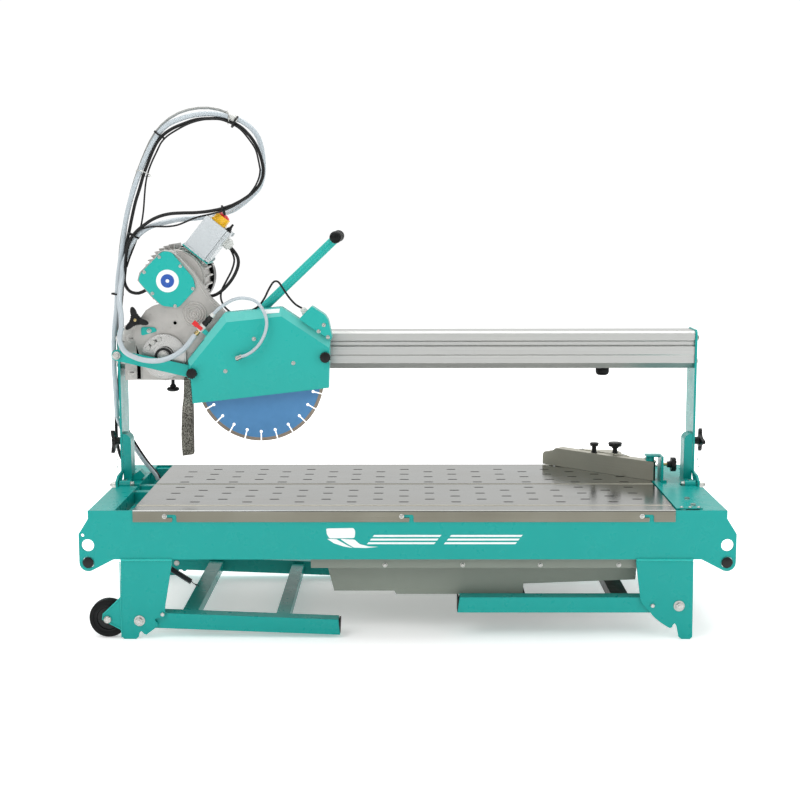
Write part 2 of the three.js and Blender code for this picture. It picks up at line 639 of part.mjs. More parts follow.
function motorHousing() {
  const fins = 22;
  const profile = Array.from({ length: fins }, (_, i) => (i * 360) / fins).flatMap((a) => [
    polar(0, 0, 75, a), polar(0, 0, 83.5, a + 2), polar(0, 0, 83.5, a + 4.5), polar(0, 0, 75, a + 6.5),
  ]);
  const saddle = box(-30, 30, 80, 165, 60, 84);
  const body = join(
    plateXZ(outline(profile), 78, MOTOR.fins), rodY(0, 0, 74, MOTOR.front, 79, 32),
    solid(saddle).rotate([0, SWITCH_LEAN, 0]),
  );
  return cut(body, rodY(0, 0, 10.5, 50, 75, 20));
}

function fanCowl() {
  const [front, back] = [MOTOR.fins + GAP, MOTOR.back];
  return turnedY(0, 0, [
    [0, back - 3], [80, back - 3], [83, back - 6], [83, front], [86, front], [86, back - 8],
    [78, back], [0, back],
  ], 32);
}

const SWITCH_LEAN = 38.7; // degrees that the switch box leans from upright

// The switch box stands on the motor's saddle: X across, Z away from the motor's axis.
function switchBox() {
  const body = join(
    plateXZ(rounded([[-40, 86.3], [40, 86.3], [40, 190], [-40, 190]], 5, 2), 60, 170),
    box(-44, 44, 56, 174, 84.3, 87.5),
    rodX(110, 160, 10, 39, 62, 8),
    box(-26, 16, 82, 124, 189, 202), rodZ(30, 92, 6, 189, 196, 12),
    rodZ(30, 92, 2, 189, 212, 8),
  );
  return cut(body, rodZ(-5, 103, 10, 196, 203, 20));
}

const estopButton = () => turnedZ([[0, 0], [9, 0], [9, 6], [17, 6], [19, 9], [17, 14], [8, 17], [0, 17]]);

// The push handle: a tube on a foot that is bolted to the arm, and a grip across its end.
function pushHandle() {
  const [footX, footZ, gripX, gripZ, y] = [-457, 767, -188, 1022, 39];
  const lean = THREE.MathUtils.radToDeg(Math.atan2(gripX - footX, gripZ - footZ));
  const length = Math.hypot(gripX - footX, gripZ - footZ);
  const tube = solid(rodZ(0, 0, 12.5, 8, length, 20)).rotate([0, lean, 0]).translate([footX, y, footZ]);
  const foot = solid(box(-24, 24, -17, 17, 1.6, 9)).rotate([0, 49.05, 0]).translate([footX, y, footZ]);
  return join(tube, foot, rodY(gripX, gripZ, 16.5, -110, 72, 20));
}

part(head, 'arm_casting', CASTING, armCasting());
part(head, 'belt_cover', GREEN, plateXZ(rounded(COVER, 9, 3), 14, ARM.front - GAP));
part(head, 'drive_belt', RUBBER, driveBelt());
part(head, 'push_handle', GREEN, pushHandle());
for (const [name, material, body] of [
  ['motor_pulley', ZINC, motorPulley()],
  ['motor_housing', CASTING, motorHousing()],
  ['fan_cowl', BLACK_PLASTIC, fanCowl()],
]) {
  part(head, name, material, body).position.set(MOTOR.x, 0, MOTOR.z);
}

const switchMount = new THREE.Group();
switchMount.position.set(MOTOR.x, 0, MOTOR.z);
switchMount.rotation.y = rad(SWITCH_LEAN);
part(switchMount, 'switch_box', LIGHT_PLASTIC, switchBox());
part(switchMount, 'estop_button', RED_PLASTIC, estopButton()).position.set(-5, 103, 202 + GAP);
head.add(switchMount);

const depthKnob = part(head, 'depth_knob', BLACK_PLASTIC, armKnob(36, 0.5, 5));
depthKnob.position.set(-739, ARM.front - GAP - 0.5, 797);
depthKnob.rotation.set(rad(90), 0, rad(14));

// ---- blade --------------------------------------------------------------------------------

// A cutting disc in its own frame: segments around the rim, parted by keyhole slots.
function blade() {
  const { radius, thickness, segments, bore, y } = BLADE;
  const pitch = 360 / segments;
  const rim = Array.from({ length: segments }, (_, i) => i * pitch).flatMap((a) => [
    polar(0, 0, radius, a + 0.8), polar(0, 0, radius, a + pitch / 2), polar(0, 0, radius, a + pitch - 0.8),
    polar(0, 0, 160, a + pitch - 0.85), polar(0, 0, 156, a + pitch - 1.3), polar(0, 0, 154, a + pitch),
    polar(0, 0, 156, a + pitch + 1.3), polar(0, 0, 160, a + pitch + 0.85),
  ]);
  const disc = outline(rim);
  disc.holes.push(new THREE.Path(arc(0, 0, bore, 0, 342, 19)));
  return plateXZ(disc, y - thickness / 2, y + thickness / 2);
}

// The arbor: flanges each side of the blade, a shaft through the arm and the driven pulley.
function arbor() {
  const [rimFront, rimRear] = [BLADE.y - 1.8, BLADE.y + 1.8];
  return turnedY(0, 0, [
    [0, -4], [10, -4], [10, 3], [40, 4], [40, rimFront], [12.3, rimFront], [12.3, rimRear], [40, rimRear],
    [40, 20.5], [13.5, 20.5], [13.5, 31], [26, 31], [26, 47], [13.5, 47], [13.5, 59], [0, 59],
  ], 24);
}

part(head, 'blade', BLUE_STEEL, blade()).position.set(ARBOR.x, 0, ARBOR.z);
part(head, 'arbor', ZINC, arbor()).position.set(ARBOR.x, 0, ARBOR.z);

// ---- blade guard --------------------------------------------------------------------------

// The guard's outline at its widest, behind the fold, and on its front face.
const GUARD_EDGE = [
  [-495, 817], [-598, 690], [-591, 628], [-585, 570], [-213, 613], [-209, 744], [-341, 832],
];
const GUARD_FACE = [
  [-489, 792], [-589, 672], [-588, 628], [-585, 570], [-213, 613], [-211, 722], [-340, 808],
];

// The guard's inner faces: each corner drawn towards a point in the guard, the open bottom lowered.
function shrunk(corners) {
  const middle = [-400, 700];
  return corners.map(([x, z]) => [
    x + Math.sign(middle[0] - x) * GUARD.wall * 1.1,
    z < 620 ? z - 30 : z - GUARD.wall * 1.4,
  ]);
}

function guardShell() {
  const { front, fold, rear, wall } = GUARD;
  const skin = join(loftXZ(GUARD_FACE, front, GUARD_EDGE, fold), loftXZ(GUARD_EDGE, fold, GUARD_EDGE, rear));
  const inside = join(
    loftXZ(shrunk(GUARD_FACE), front + wall, shrunk(GUARD_EDGE), fold + wall / 2),
    loftXZ(shrunk(GUARD_EDGE), fold + wall / 2, shrunk(GUARD_EDGE), rear + 1),
  );
  const linkSlot = box(-612, -540, -11, -0.5, 622, 746);
  return join(
    cut(skin, inside, linkSlot), rodY(GUARD_PIN.x, GUARD_PIN.z, LINK_PIN.radius, front + 1, 0, 16),
    ...[[-585, 651], [-222, 697]].map(([x, z]) => rodY(x, z, 13, front - 14, front + 1, 12)),
  );
}

// The link that keeps the guard level while the head plunges.
function guardLink() {
  const [a, b] = [LINK_PIN, GUARD_PIN];
  const lean = THREE.MathUtils.radToDeg(Math.atan2(b.z - a.z, b.x - a.x));
  const bar = outline([
    ...arc(a.x, a.z, 15, lean + 90, lean + 270, 8),
    ...arc(b.x, b.z, 17, lean - 90, lean + 90, 8),
  ]);
  return cut(
    plateXZ(bar, -8, -3), rodY(a.x, a.z, LINK_PIN.radius + 0.4, -20, 20, 16),
    rodY(b.x, b.z, LINK_PIN.radius + 0.4, -20, 20, 16),
  );
}

function lampBox() {
  const corners = [
    [-292, 800.8], [-206, 743.4], [-203, 752], [-213, 798], [-222, 812], [-258, 836],
  ];
  return plateXZ(rounded(corners, 4, 2), -28, 17);
}

// The strip of bristles that hangs behind the guard and stops the spray.
function splashFlap() {
  const corners = [
    [-611, 638], [-593.5, 638], [-588.5, 590], [-587, 555], [-587, 428], [-600, 420],
    [-617, 424], [-620, 480], [-614, 575],
  ];
  return plateXZ(rounded(corners, 5, 2), -18, 18);
}

// The water valve clipped along the guard's sloping edge; Z runs along the edge.
const valveBody = () => join(
  rodZ(0, 0, 6.5, -22, -8, 12),
  rodZ(0, 0, 9, -9, 13, 16),
  rodZ(0, 0, 7.5, 12, 44, 14),
  rodY(0, 2, 5, -14, 0, 12),
);
const valveLever = () => join(box(-24, 5, -19, -14.4, -3, 7), box(-26, -12, -20, -14.4, -4.5, 8.5));

part(head, 'guard_shell', GREEN, guardShell());
part(head, 'guard_link', GREEN, guardLink());
part(head, 'lamp_box', GREEN, lampBox());
part(head, 'splash_flap', BRISTLE, splashFlap());

const valveMount = new THREE.Group();
valveMount.position.set(-561, -2, 774);
valveMount.rotation.y = rad(42);
part(valveMount, 'valve_body', LIGHT_PLASTIC, valveBody());
part(valveMount, 'valve_lever', RED_PLASTIC, valveLever());
head.add(valveMount);

// ---- cables and hoses of the head ---------------------------------------------------------

// The slack loop from the rod's tip, tied at the switch box, then along and down to the motor.
const CABLE_LOOP = [
  [-492, 118, 1345], [-454, 112, 1327], [-422, 106, 1291], [-400, 100, 1248], [-396, 96, 1202],
  [-410, 92, 1169], [-444, 88, 1135], [-488, 86, 1112], [-520, 86, 1103], [-570, 86, 1092],
  [-643, 88, 1082], [-696, 92, 1070], [-738, 95, 1044], [-760, 95, 1018], [-776, 95, 984],
  [-788, 95, 928], [-783, 95, 885], [-765, 95, 870], [-744, 95, 869], [-727, 95, 876],
];
const FEED_HOSE = [
  [-786, 78, 905], [-784, 58, 870], [-772, 20, 830], [-768, -16, 799], [-775, -28, 772],
  [-778, -32, 742], [-765, -34, 716], [-738, -34, 699], [-706, -34, 690], [-668, -34, 690],
  [-628, -32, 704], [-600, -22, 726], [-585, -8, 746], [-577.5, -2, 755.5],
];
const GUARD_HOSE = [
  [-529.5, -2, 809.5], [-516, -4, 824], [-494, -10, 840], [-467, -20, 854], [-439, -28, 858],
  [-408, -34, 850], [-388, -38, 827], [-378, -40, 796], [-383, -42, 764], [-399, -42, 734],
  [-422, -42, 712], [-443, -40, 702], [-450, -36, 700], [-450, -23, 700],
];
const SWITCH_CABLE = [
  [-487, 110, 958], [-478, 103, 948], [-469, 86, 930], [-466, 70, 912], [-477, 67, 888],
  [-498, 67, 870], [-518, 70, 864], [-538, 78, 874], [-549, 92, 884],
];
const LAMP_CABLE = [
  [-522, 66, 848], [-510, 62, 846], [-499, 50, 839], [-487, 24, 827], [-462, 18, 833],
  [-430, 16, 844], [-405, 12, 852], [-384, 6, 868], [-366, 0, 893], [-356, -3, 903],
  [-345, -5, 898], [-334, -5, 878], [-322, -5, 852], [-308, -5, 833], [-292, -5, 822],
  [-280, -5, 824],
];

part(head, 'cable_loop', RUBBER, cord(CABLE_LOOP, 9, 8, 40));
part(head, 'feed_hose', CLEAR_HOSE, cord(FEED_HOSE, 5.5, 8, 30));
part(head, 'guard_hose', CLEAR_HOSE, cord(GUARD_HOSE, 4.5, 8, 30));
part(head, 'switch_cable', RUBBER, cord(SWITCH_CABLE, 5, 8, 24));
part(head, 'lamp_cable', RUBBER, cord(LAMP_CABLE, 2.5, 6, 40));

// ---- fence --------------------------------------------------------------------------------

// The fence lies across the table from its guide. In its own frame X runs along it from the pivot
// at its right end, +Y is the side that the slab lies against, and Z is the machine's own.
const FENCE = { x: 681.5, y: 77.4, angle: 137.1, overhang: 20, length: 389, face: 12, back: -22, height: 53 };
const FENCE_SEAT = TABLE.top + GAP;
const FENCE_CROWN = FENCE_SEAT + FENCE.height;

function fenceBar() {
  const { overhang, length, face, back } = FENCE;
  const far = length - overhang;
  const wall = 3;
  const side = outline([
    [-overhang, FENCE_SEAT], [far, FENCE_SEAT],
    ...arc(far - 14, FENCE_CROWN - 27, 14, 0, 90, 3),
    [far - 30, FENCE_CROWN - 13], [far - 48, FENCE_CROWN], [-overhang, FENCE_CROWN],
  ]);
  const channel = cut(
    plateXZ(side, back, face),
    box(-overhang - 1, far - 20, back + wall, face - wall, FENCE_SEAT - 1, FENCE_CROWN - wall),
    plateXY(outline([[-25, 4], [-25, -30], [3, -30]]), FENCE_SEAT - 1, FENCE_CROWN + 1),
    plateXY(
      outline([[far - 26, back - 1], [far + 1, 3], [far + 1, back - 1]]), FENCE_SEAT - 1, FENCE_CROWN + 1),
    rodZ(0, 0, 6.5, FENCE_SEAT, FENCE_CROWN + 5, 16),
  );
  const crescent = outline([[80, back + 6], [255, back + 6], ...arc(167, -19, 48, -25, -155, 7)]);
  const ledge = plateXY(crescent, FENCE_CROWN - 1, FENCE_CROWN + 2);
  const knobFoot = FENCE_CROWN + 20;
  const stud = (x, y, radius, height) => join(
    rodZ(x, y, 5, FENCE_CROWN - 1, knobFoot + 1, 12),
    rodZ(x, y, radius, knobFoot, knobFoot + height, 20),
  );
  return join(channel, ledge, stud(193, -3, 12, 9), stud(145, -39, 19, 11));
}

// The bracket that rides on the guide and holds the fence's pivot.
function fenceBracket() {
  const crown = FENCE_CROWN + GAP;
  return join(
    box(706, 712, 32, 92, FENCE_SEAT, crown + 18), box(706, 722, 32, 92, FENCE_SEAT, FENCE_SEAT + 6),
    box(668, 712, 60, 92, crown + 13, crown + 18),
    rodZ(FENCE.x, FENCE.y, 12, crown, crown + 14, 20), rodZ(FENCE.x, FENCE.y, 6, crown - 20, crown + 1, 16),
  );
}

const fence = new THREE.Group();
part(fence, 'fence_bracket', GREEN, fenceBracket());
const bar = part(fence, 'fence_bar', STAINLESS, fenceBar());
bar.position.set(FENCE.x, FENCE.y, 0);
bar.rotation.z = rad(FENCE.angle);
const fenceKnob = part(fence, 'fence_knob', BLACK_PLASTIC, join(
  rodZ(0, 0, 4, 0, 18, 12), rodZ(0, 0, 8, 17, 28, 16), rodZ(0, 0, 20, 27, 39, 24)));
fenceKnob.position.set(712 + GAP, 50, 388);
fenceKnob.rotation.y = rad(90);

saw.add(base, bridge, carriage, head, fence);

export default saw;
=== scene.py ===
"""Looks of the rail saw: finishes, trim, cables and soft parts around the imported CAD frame."""
import json
import math
import random

import bmesh
import bpy
from mathutils import Matrix, Vector
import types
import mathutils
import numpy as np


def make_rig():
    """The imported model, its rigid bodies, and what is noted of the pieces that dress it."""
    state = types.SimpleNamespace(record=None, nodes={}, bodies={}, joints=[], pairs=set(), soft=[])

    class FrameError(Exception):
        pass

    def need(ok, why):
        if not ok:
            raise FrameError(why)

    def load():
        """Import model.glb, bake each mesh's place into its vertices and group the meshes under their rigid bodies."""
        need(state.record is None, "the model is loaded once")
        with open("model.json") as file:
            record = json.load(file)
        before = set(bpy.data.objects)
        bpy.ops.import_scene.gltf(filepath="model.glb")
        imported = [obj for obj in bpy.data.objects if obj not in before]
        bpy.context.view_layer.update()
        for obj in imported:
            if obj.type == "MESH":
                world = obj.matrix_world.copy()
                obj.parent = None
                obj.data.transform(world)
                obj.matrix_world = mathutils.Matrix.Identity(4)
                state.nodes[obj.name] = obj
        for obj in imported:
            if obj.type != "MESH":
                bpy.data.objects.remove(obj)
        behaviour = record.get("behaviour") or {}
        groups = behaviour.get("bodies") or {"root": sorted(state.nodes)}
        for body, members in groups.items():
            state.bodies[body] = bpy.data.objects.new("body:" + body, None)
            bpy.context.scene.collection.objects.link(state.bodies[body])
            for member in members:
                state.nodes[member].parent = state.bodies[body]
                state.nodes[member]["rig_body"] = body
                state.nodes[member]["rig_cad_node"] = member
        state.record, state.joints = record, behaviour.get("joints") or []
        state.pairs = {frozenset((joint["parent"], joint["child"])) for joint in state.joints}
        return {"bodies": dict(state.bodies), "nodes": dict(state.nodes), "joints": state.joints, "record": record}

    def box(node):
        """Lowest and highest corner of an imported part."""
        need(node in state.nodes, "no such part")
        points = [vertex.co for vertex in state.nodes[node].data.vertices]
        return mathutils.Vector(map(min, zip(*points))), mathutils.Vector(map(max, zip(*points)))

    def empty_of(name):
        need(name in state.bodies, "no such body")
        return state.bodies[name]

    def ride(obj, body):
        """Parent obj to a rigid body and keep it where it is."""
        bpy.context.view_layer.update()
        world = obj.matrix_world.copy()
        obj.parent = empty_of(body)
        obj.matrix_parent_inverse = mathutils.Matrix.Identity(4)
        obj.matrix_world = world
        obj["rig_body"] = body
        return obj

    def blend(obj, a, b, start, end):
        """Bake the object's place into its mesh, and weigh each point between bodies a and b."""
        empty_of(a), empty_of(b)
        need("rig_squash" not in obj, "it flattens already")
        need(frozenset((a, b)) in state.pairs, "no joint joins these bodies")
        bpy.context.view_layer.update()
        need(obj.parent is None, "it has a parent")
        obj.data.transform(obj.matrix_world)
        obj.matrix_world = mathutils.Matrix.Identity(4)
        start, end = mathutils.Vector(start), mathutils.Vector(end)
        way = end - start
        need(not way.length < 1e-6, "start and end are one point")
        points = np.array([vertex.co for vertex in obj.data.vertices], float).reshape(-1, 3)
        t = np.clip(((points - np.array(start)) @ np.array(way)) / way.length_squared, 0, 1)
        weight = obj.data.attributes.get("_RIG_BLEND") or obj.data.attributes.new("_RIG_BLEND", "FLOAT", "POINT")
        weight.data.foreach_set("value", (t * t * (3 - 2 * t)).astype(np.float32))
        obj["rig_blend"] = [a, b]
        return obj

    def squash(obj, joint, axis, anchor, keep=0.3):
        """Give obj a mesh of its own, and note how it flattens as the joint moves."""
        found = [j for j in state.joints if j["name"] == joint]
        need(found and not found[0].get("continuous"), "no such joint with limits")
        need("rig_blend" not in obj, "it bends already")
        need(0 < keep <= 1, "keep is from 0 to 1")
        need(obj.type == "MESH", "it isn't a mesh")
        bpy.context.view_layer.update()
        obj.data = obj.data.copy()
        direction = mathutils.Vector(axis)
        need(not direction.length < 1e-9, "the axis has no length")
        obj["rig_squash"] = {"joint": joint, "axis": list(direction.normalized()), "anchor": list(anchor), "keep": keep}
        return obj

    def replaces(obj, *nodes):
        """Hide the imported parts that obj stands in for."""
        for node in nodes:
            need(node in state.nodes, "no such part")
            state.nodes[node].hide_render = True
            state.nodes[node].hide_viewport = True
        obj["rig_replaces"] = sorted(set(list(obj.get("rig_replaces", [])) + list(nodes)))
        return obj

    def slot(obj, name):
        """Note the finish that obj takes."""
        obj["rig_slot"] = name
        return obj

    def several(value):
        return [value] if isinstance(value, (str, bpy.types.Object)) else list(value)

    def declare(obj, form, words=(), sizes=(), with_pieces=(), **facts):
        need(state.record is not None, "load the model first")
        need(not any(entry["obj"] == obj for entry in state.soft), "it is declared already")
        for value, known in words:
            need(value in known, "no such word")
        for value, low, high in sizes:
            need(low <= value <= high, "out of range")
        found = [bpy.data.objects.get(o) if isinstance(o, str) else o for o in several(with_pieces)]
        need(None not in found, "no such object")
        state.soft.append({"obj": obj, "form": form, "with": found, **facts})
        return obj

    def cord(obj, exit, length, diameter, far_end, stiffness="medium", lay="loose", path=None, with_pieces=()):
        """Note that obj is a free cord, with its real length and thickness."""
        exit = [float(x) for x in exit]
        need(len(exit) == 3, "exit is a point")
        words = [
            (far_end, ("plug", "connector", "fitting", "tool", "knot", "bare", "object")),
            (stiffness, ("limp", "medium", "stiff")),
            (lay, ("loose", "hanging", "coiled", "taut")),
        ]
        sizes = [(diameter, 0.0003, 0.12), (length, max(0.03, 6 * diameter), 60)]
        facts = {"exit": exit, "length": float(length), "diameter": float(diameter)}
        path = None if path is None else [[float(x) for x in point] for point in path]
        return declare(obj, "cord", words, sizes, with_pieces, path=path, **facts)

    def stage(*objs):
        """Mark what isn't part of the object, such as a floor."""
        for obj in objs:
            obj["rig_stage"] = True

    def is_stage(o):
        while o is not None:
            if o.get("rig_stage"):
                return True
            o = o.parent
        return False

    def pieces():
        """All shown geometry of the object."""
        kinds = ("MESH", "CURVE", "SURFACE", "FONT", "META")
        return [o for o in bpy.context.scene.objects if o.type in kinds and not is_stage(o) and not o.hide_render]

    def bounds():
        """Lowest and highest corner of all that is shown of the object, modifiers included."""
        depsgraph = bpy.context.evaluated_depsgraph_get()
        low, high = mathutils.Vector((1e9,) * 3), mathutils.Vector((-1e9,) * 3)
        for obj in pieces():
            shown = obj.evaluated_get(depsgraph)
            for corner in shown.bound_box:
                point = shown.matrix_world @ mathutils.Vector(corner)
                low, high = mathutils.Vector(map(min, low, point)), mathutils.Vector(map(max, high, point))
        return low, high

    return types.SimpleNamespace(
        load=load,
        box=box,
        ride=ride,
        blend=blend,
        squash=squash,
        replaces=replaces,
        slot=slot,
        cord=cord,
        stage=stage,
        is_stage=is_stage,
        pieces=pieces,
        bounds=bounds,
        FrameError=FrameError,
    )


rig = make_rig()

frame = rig.load()
cad_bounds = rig.bounds()
joints = {j["name"]: j for j in frame["joints"]}
rng = random.Random(11)
X, Y, Z = Vector((1, 0, 0)), Vector((0, 1, 0)), Vector((0, 0, 1))
FRONT = -Y  # towards the operator


def mm(*p):
    """A point given in millimetres, in metres."""
    return Vector(p) / 1000


def around(a):
    """The direction at angle a about the machine's Y, from its X towards its Z."""
    return Vector((math.cos(a), 0, math.sin(a)))


# ---- camera and light ----------------------------------------------------------------------

CAMERA_PLACE = mm(3.5, -3852.6, 1109.6)
CAMERA_YAW, CAMERA_PITCH, CAMERA_ROLL = -0.0060, 0.1375, -0.0016
LENS, SENSOR = 63.88, 36


def add_camera():
    flat = math.cos(CAMERA_PITCH)
    forward = Vector((math.sin(CAMERA_YAW) * flat, math.cos(CAMERA_YAW) * flat, -math.sin(CAMERA_PITCH)))
    level = forward.cross(Z).normalized()
    right = (level + level.cross(forward) * CAMERA_ROLL).normalized()
    up = right.cross(forward)
    data = bpy.data.cameras.new("camera")
    data.sensor_width, data.lens = SENSOR, LENS
    data.clip_start, data.clip_end = 0.1, 60
    camera = bpy.data.objects.new("camera", data)
    bpy.context.scene.collection.objects.link(camera)
    turn = Matrix((right, up, -forward)).transposed().to_4x4()
    camera.matrix_world = Matrix.Translation(CAMERA_PLACE) @ turn
    bpy.context.scene.camera = camera


def add_light(name, place, target, size, power):
    data = bpy.data.lights.new(name, "AREA")
    data.shape, data.size, data.size_y, data.energy = "RECTANGLE", size[0], size[1], power
    light = bpy.data.objects.new(name, data)
    bpy.context.scene.collection.objects.link(light)
    light.location = place
    light.rotation_euler = (Vector(target) - Vector(place)).to_track_quat("-Z", "Y").to_euler()


def map_range(tree, source, low, high, to_low=0.0, to_high=1.0):
    """A node that turns low..high of the source into to_low..to_high, and stops there."""
    node = tree.nodes.new("ShaderNodeMapRange")
    for i, number in enumerate((low, high, to_low, to_high)):
        node.inputs[i + 1].default_value = number
    tree.links.new(source, node.inputs[0])
    return node.outputs[0]


def add_world():
    """White to the camera. What the metal mirrors is grey below, white above and darker towards the operator."""
    world = bpy.data.worlds.new("studio")
    bpy.context.scene.world = world
    world.use_nodes = True
    tree = world.node_tree
    tree.nodes.clear()
    link, new = tree.links.new, tree.nodes.new
    coords, split = new("ShaderNodeTexCoord"), new("ShaderNodeSeparateXYZ")
    link(coords.outputs["Generated"], split.inputs[0])
    half = new("ShaderNodeMath")
    half.operation, half.inputs[1].default_value, half.inputs[2].default_value = "MULTIPLY_ADD", 0.5, 0.5
    link(split.outputs["Z"], half.inputs[0])
    ramp = new("ShaderNodeValToRGB")
    low, high = ramp.color_ramp.elements
    low.position, low.color = 0.30, (0.52, 0.52, 0.52, 1)
    high.position, high.color = 1.0, (1, 1, 1, 1)
    ramp.color_ramp.elements.new(0.62).color = (0.60, 0.60, 0.595, 1)
    link(half.outputs[0], ramp.inputs[0])
    dim = new("ShaderNodeMix")
    dim.data_type, dim.blend_type = "RGBA", "MULTIPLY"
    dim.inputs["Factor"].default_value = 1.0
    link(ramp.outputs[0], dim.inputs["A"])
    link(map_range(tree, split.outputs["Y"], -0.6, 0.7, 0.62, 1.45), dim.inputs["B"])
    seen, path = new("ShaderNodeMix"), new("ShaderNodeLightPath")
    seen.data_type = "RGBA"
    seen.inputs["B"].default_value = (1.05, 1.05, 1.05, 1)
    link(dim.outputs["Result"], seen.inputs["A"])
    link(path.outputs["Is Camera Ray"], seen.inputs["Factor"])
    back, out = new("ShaderNodeBackground"), new("ShaderNodeOutputWorld")
    link(seen.outputs["Result"], back.inputs["Color"])
    link(back.outputs[0], out.inputs["Surface"])


def add_floor():
    """White paper that glows a little, and more far from the machine, so that only its shadow shows."""
    half = 9
    mesh = bpy.data.meshes.new("floor")
    mesh.from_pydata([(x, y, 0) for x, y in ((-half, -half), (half, -half), (half, half), (-half, half))], [],
                     [(0, 1, 2, 3)])
    floor = bpy.data.objects.new("floor", mesh)
    bpy.context.scene.collection.objects.link(floor)
    paper = bpy.data.materials.new("floor_paper")
    paper.use_nodes = True
    tree = paper.node_tree
    shader = tree.nodes["Principled BSDF"]
    shader.inputs["Base Color"].default_value = (0.93, 0.93, 0.93, 1)
    shader.inputs["Roughness"].default_value = 0.9
    shader.inputs["Specular IOR Level"].default_value = 0.0
    shader.inputs["Emission Color"].default_value = (1, 1, 1, 1)
    place, far = tree.nodes.new("ShaderNodeTexCoord"), tree.nodes.new("ShaderNodeVectorMath")
    far.operation = "LENGTH"
    tree.links.new(place.outputs["Object"], far.inputs[0])
    glow = map_range(tree, far.outputs["Value"], 0.3, 2.6, 0.30, 0.80)
    tree.links.new(glow, shader.inputs["Emission Strength"])
    mesh.materials.append(paper)
    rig.stage(floor)


def add_studio():
    bpy.context.scene.view_settings.view_transform = "Standard"
    bpy.context.scene.view_settings.look = "None"
    add_world()
    add_light("key", (-2.2, -3.0, 3.4), (0, 0, 0.5), (2.4, 2.4), 50)
    add_light("fill", (2.9, -2.6, 1.9), (0, 0, 0.5), (2.2, 2.2), 26)
    add_light("top", (0.1, 0.6, 3.6), (0, 0, 0.4), (3.4, 2.2), 52)
    add_floor()


# ---- finishes ------------------------------------------------------------------------------

def linear(rgb):
    """An sRGB colour of 0 to 255 as linear light."""
    return [((c / 255 + 0.055) / 1.055) ** 2.4 if c > 10 else c / 255 / 12.92 for c in rgb] + [1]


def lighter(rgb, by):
    return [min(255, c + by) for c in rgb]


def darker(rgb, part):
    return [c * part for c in rgb]


class Finish:
    """Builds one material's nodes: colour, roughness, bump and a softened edge."""

    def __init__(self, name, rgb, rough, metal=0.0):
        self.material = bpy.data.materials.new(name)
        self.material.use_nodes = True
        self.tree = self.material.node_tree
        self.link = self.tree.links.new
        self.shader = self.tree.nodes["Principled BSDF"]
        self.shader.inputs["Metallic"].default_value = metal
        self.color = self.constant("RGB", linear(rgb))
        self.rough = self.constant("Value", rough)
        self.normal = None
        self.coords = self.new("TexCoord").outputs["Object"]

    def new(self, kind):
        return self.tree.nodes.new("ShaderNode" + kind)

    def constant(self, kind, value):
        node = self.new(kind)
        node.outputs[0].default_value = value
        return node.outputs[0]

    def noise(self, scale, stretch=(1, 1, 1), detail=3.0, low=0.3, high=0.7):
        """A mask of cloudy noise, from 0 at low to 1 at high."""
        mapping, noise = self.new("Mapping"), self.new("TexNoise")
        mapping.inputs["Scale"].default_value = stretch
        noise.inputs["Scale"].default_value = scale
        noise.inputs["Detail"].default_value = detail
        self.link(self.coords, mapping.inputs[0])
        self.link(mapping.outputs[0], noise.inputs["Vector"])
        return map_range(self.tree, noise.outputs["Fac"], low, high)

    def cells(self, scale, low=0.0, high=0.5):
        """A mask of round cells, from 0 in their middles to 1 between them."""
        mapping, cells = self.new("Mapping"), self.new("TexVoronoi")
        cells.inputs["Scale"].default_value = scale
        self.link(self.coords, mapping.inputs[0])
        self.link(mapping.outputs[0], cells.inputs["Vector"])
        return map_range(self.tree, cells.outputs["Distance"], low, high)

    def tint(self, mask, rgb, amount):
        """Mixes a colour in where the mask is high."""
        node = self.new("Mix")
        node.data_type = "RGBA"
        node.inputs["B"].default_value = linear(rgb)
        self.link(map_range(self.tree, mask, 0, 1, 0, amount), node.inputs["Factor"])
        self.link(self.color, node.inputs["A"])
        self.color = node.outputs["Result"]
        return self

    def roughen(self, mask, amount):
        """Makes the surface rougher where the mask is high, and smoother where it is low."""
        node = self.new("Math")
        node.operation, node.use_clamp = "ADD", True
        self.link(map_range(self.tree, mask, 0, 1, -amount, amount), node.inputs[0])
        self.link(self.rough, node.inputs[1])
        self.rough = node.outputs[0]
        return self

    def edges(self, radius, rgb, amount):
        """Rounds the shading of every edge, and tints it lighter: partly wear, partly a painted highlight along the
        edges.
        """
        bevel, flat, dot = self.new("Bevel"), self.new("NewGeometry"), self.new("VectorMath")
        bevel.samples, bevel.inputs["Radius"].default_value = 4, radius
        self.normal = bevel.outputs[0]
        dot.operation = "DOT_PRODUCT"
        self.link(flat.outputs["Normal"], dot.inputs[0])
        self.link(bevel.outputs[0], dot.inputs[1])
        return self.tint(map_range(self.tree, dot.outputs["Value"], 0.99, 0.86), rgb, amount)

    def bump(self, height, strength, distance):
        node = self.new("Bump")
        node.inputs["Strength"].default_value = strength
        node.inputs["Distance"].default_value = distance
        self.link(height, node.inputs["Height"])
        if self.normal is not None:
            self.link(self.normal, node.inputs["Normal"])
        self.normal = node.outputs[0]
        return self

    def done(self, **numbers):
        """The material, with plain numbers for other inputs. An underscore in a name stands for a space."""
        for name, number in numbers.items():
            self.shader.inputs[name.replace("_", " ")].default_value = number
        self.link(self.color, self.shader.inputs["Base Color"])
        self.link(self.rough, self.shader.inputs["Roughness"])
        if self.normal is not None:
            self.link(self.normal, self.shader.inputs["Normal"])
        return self.material


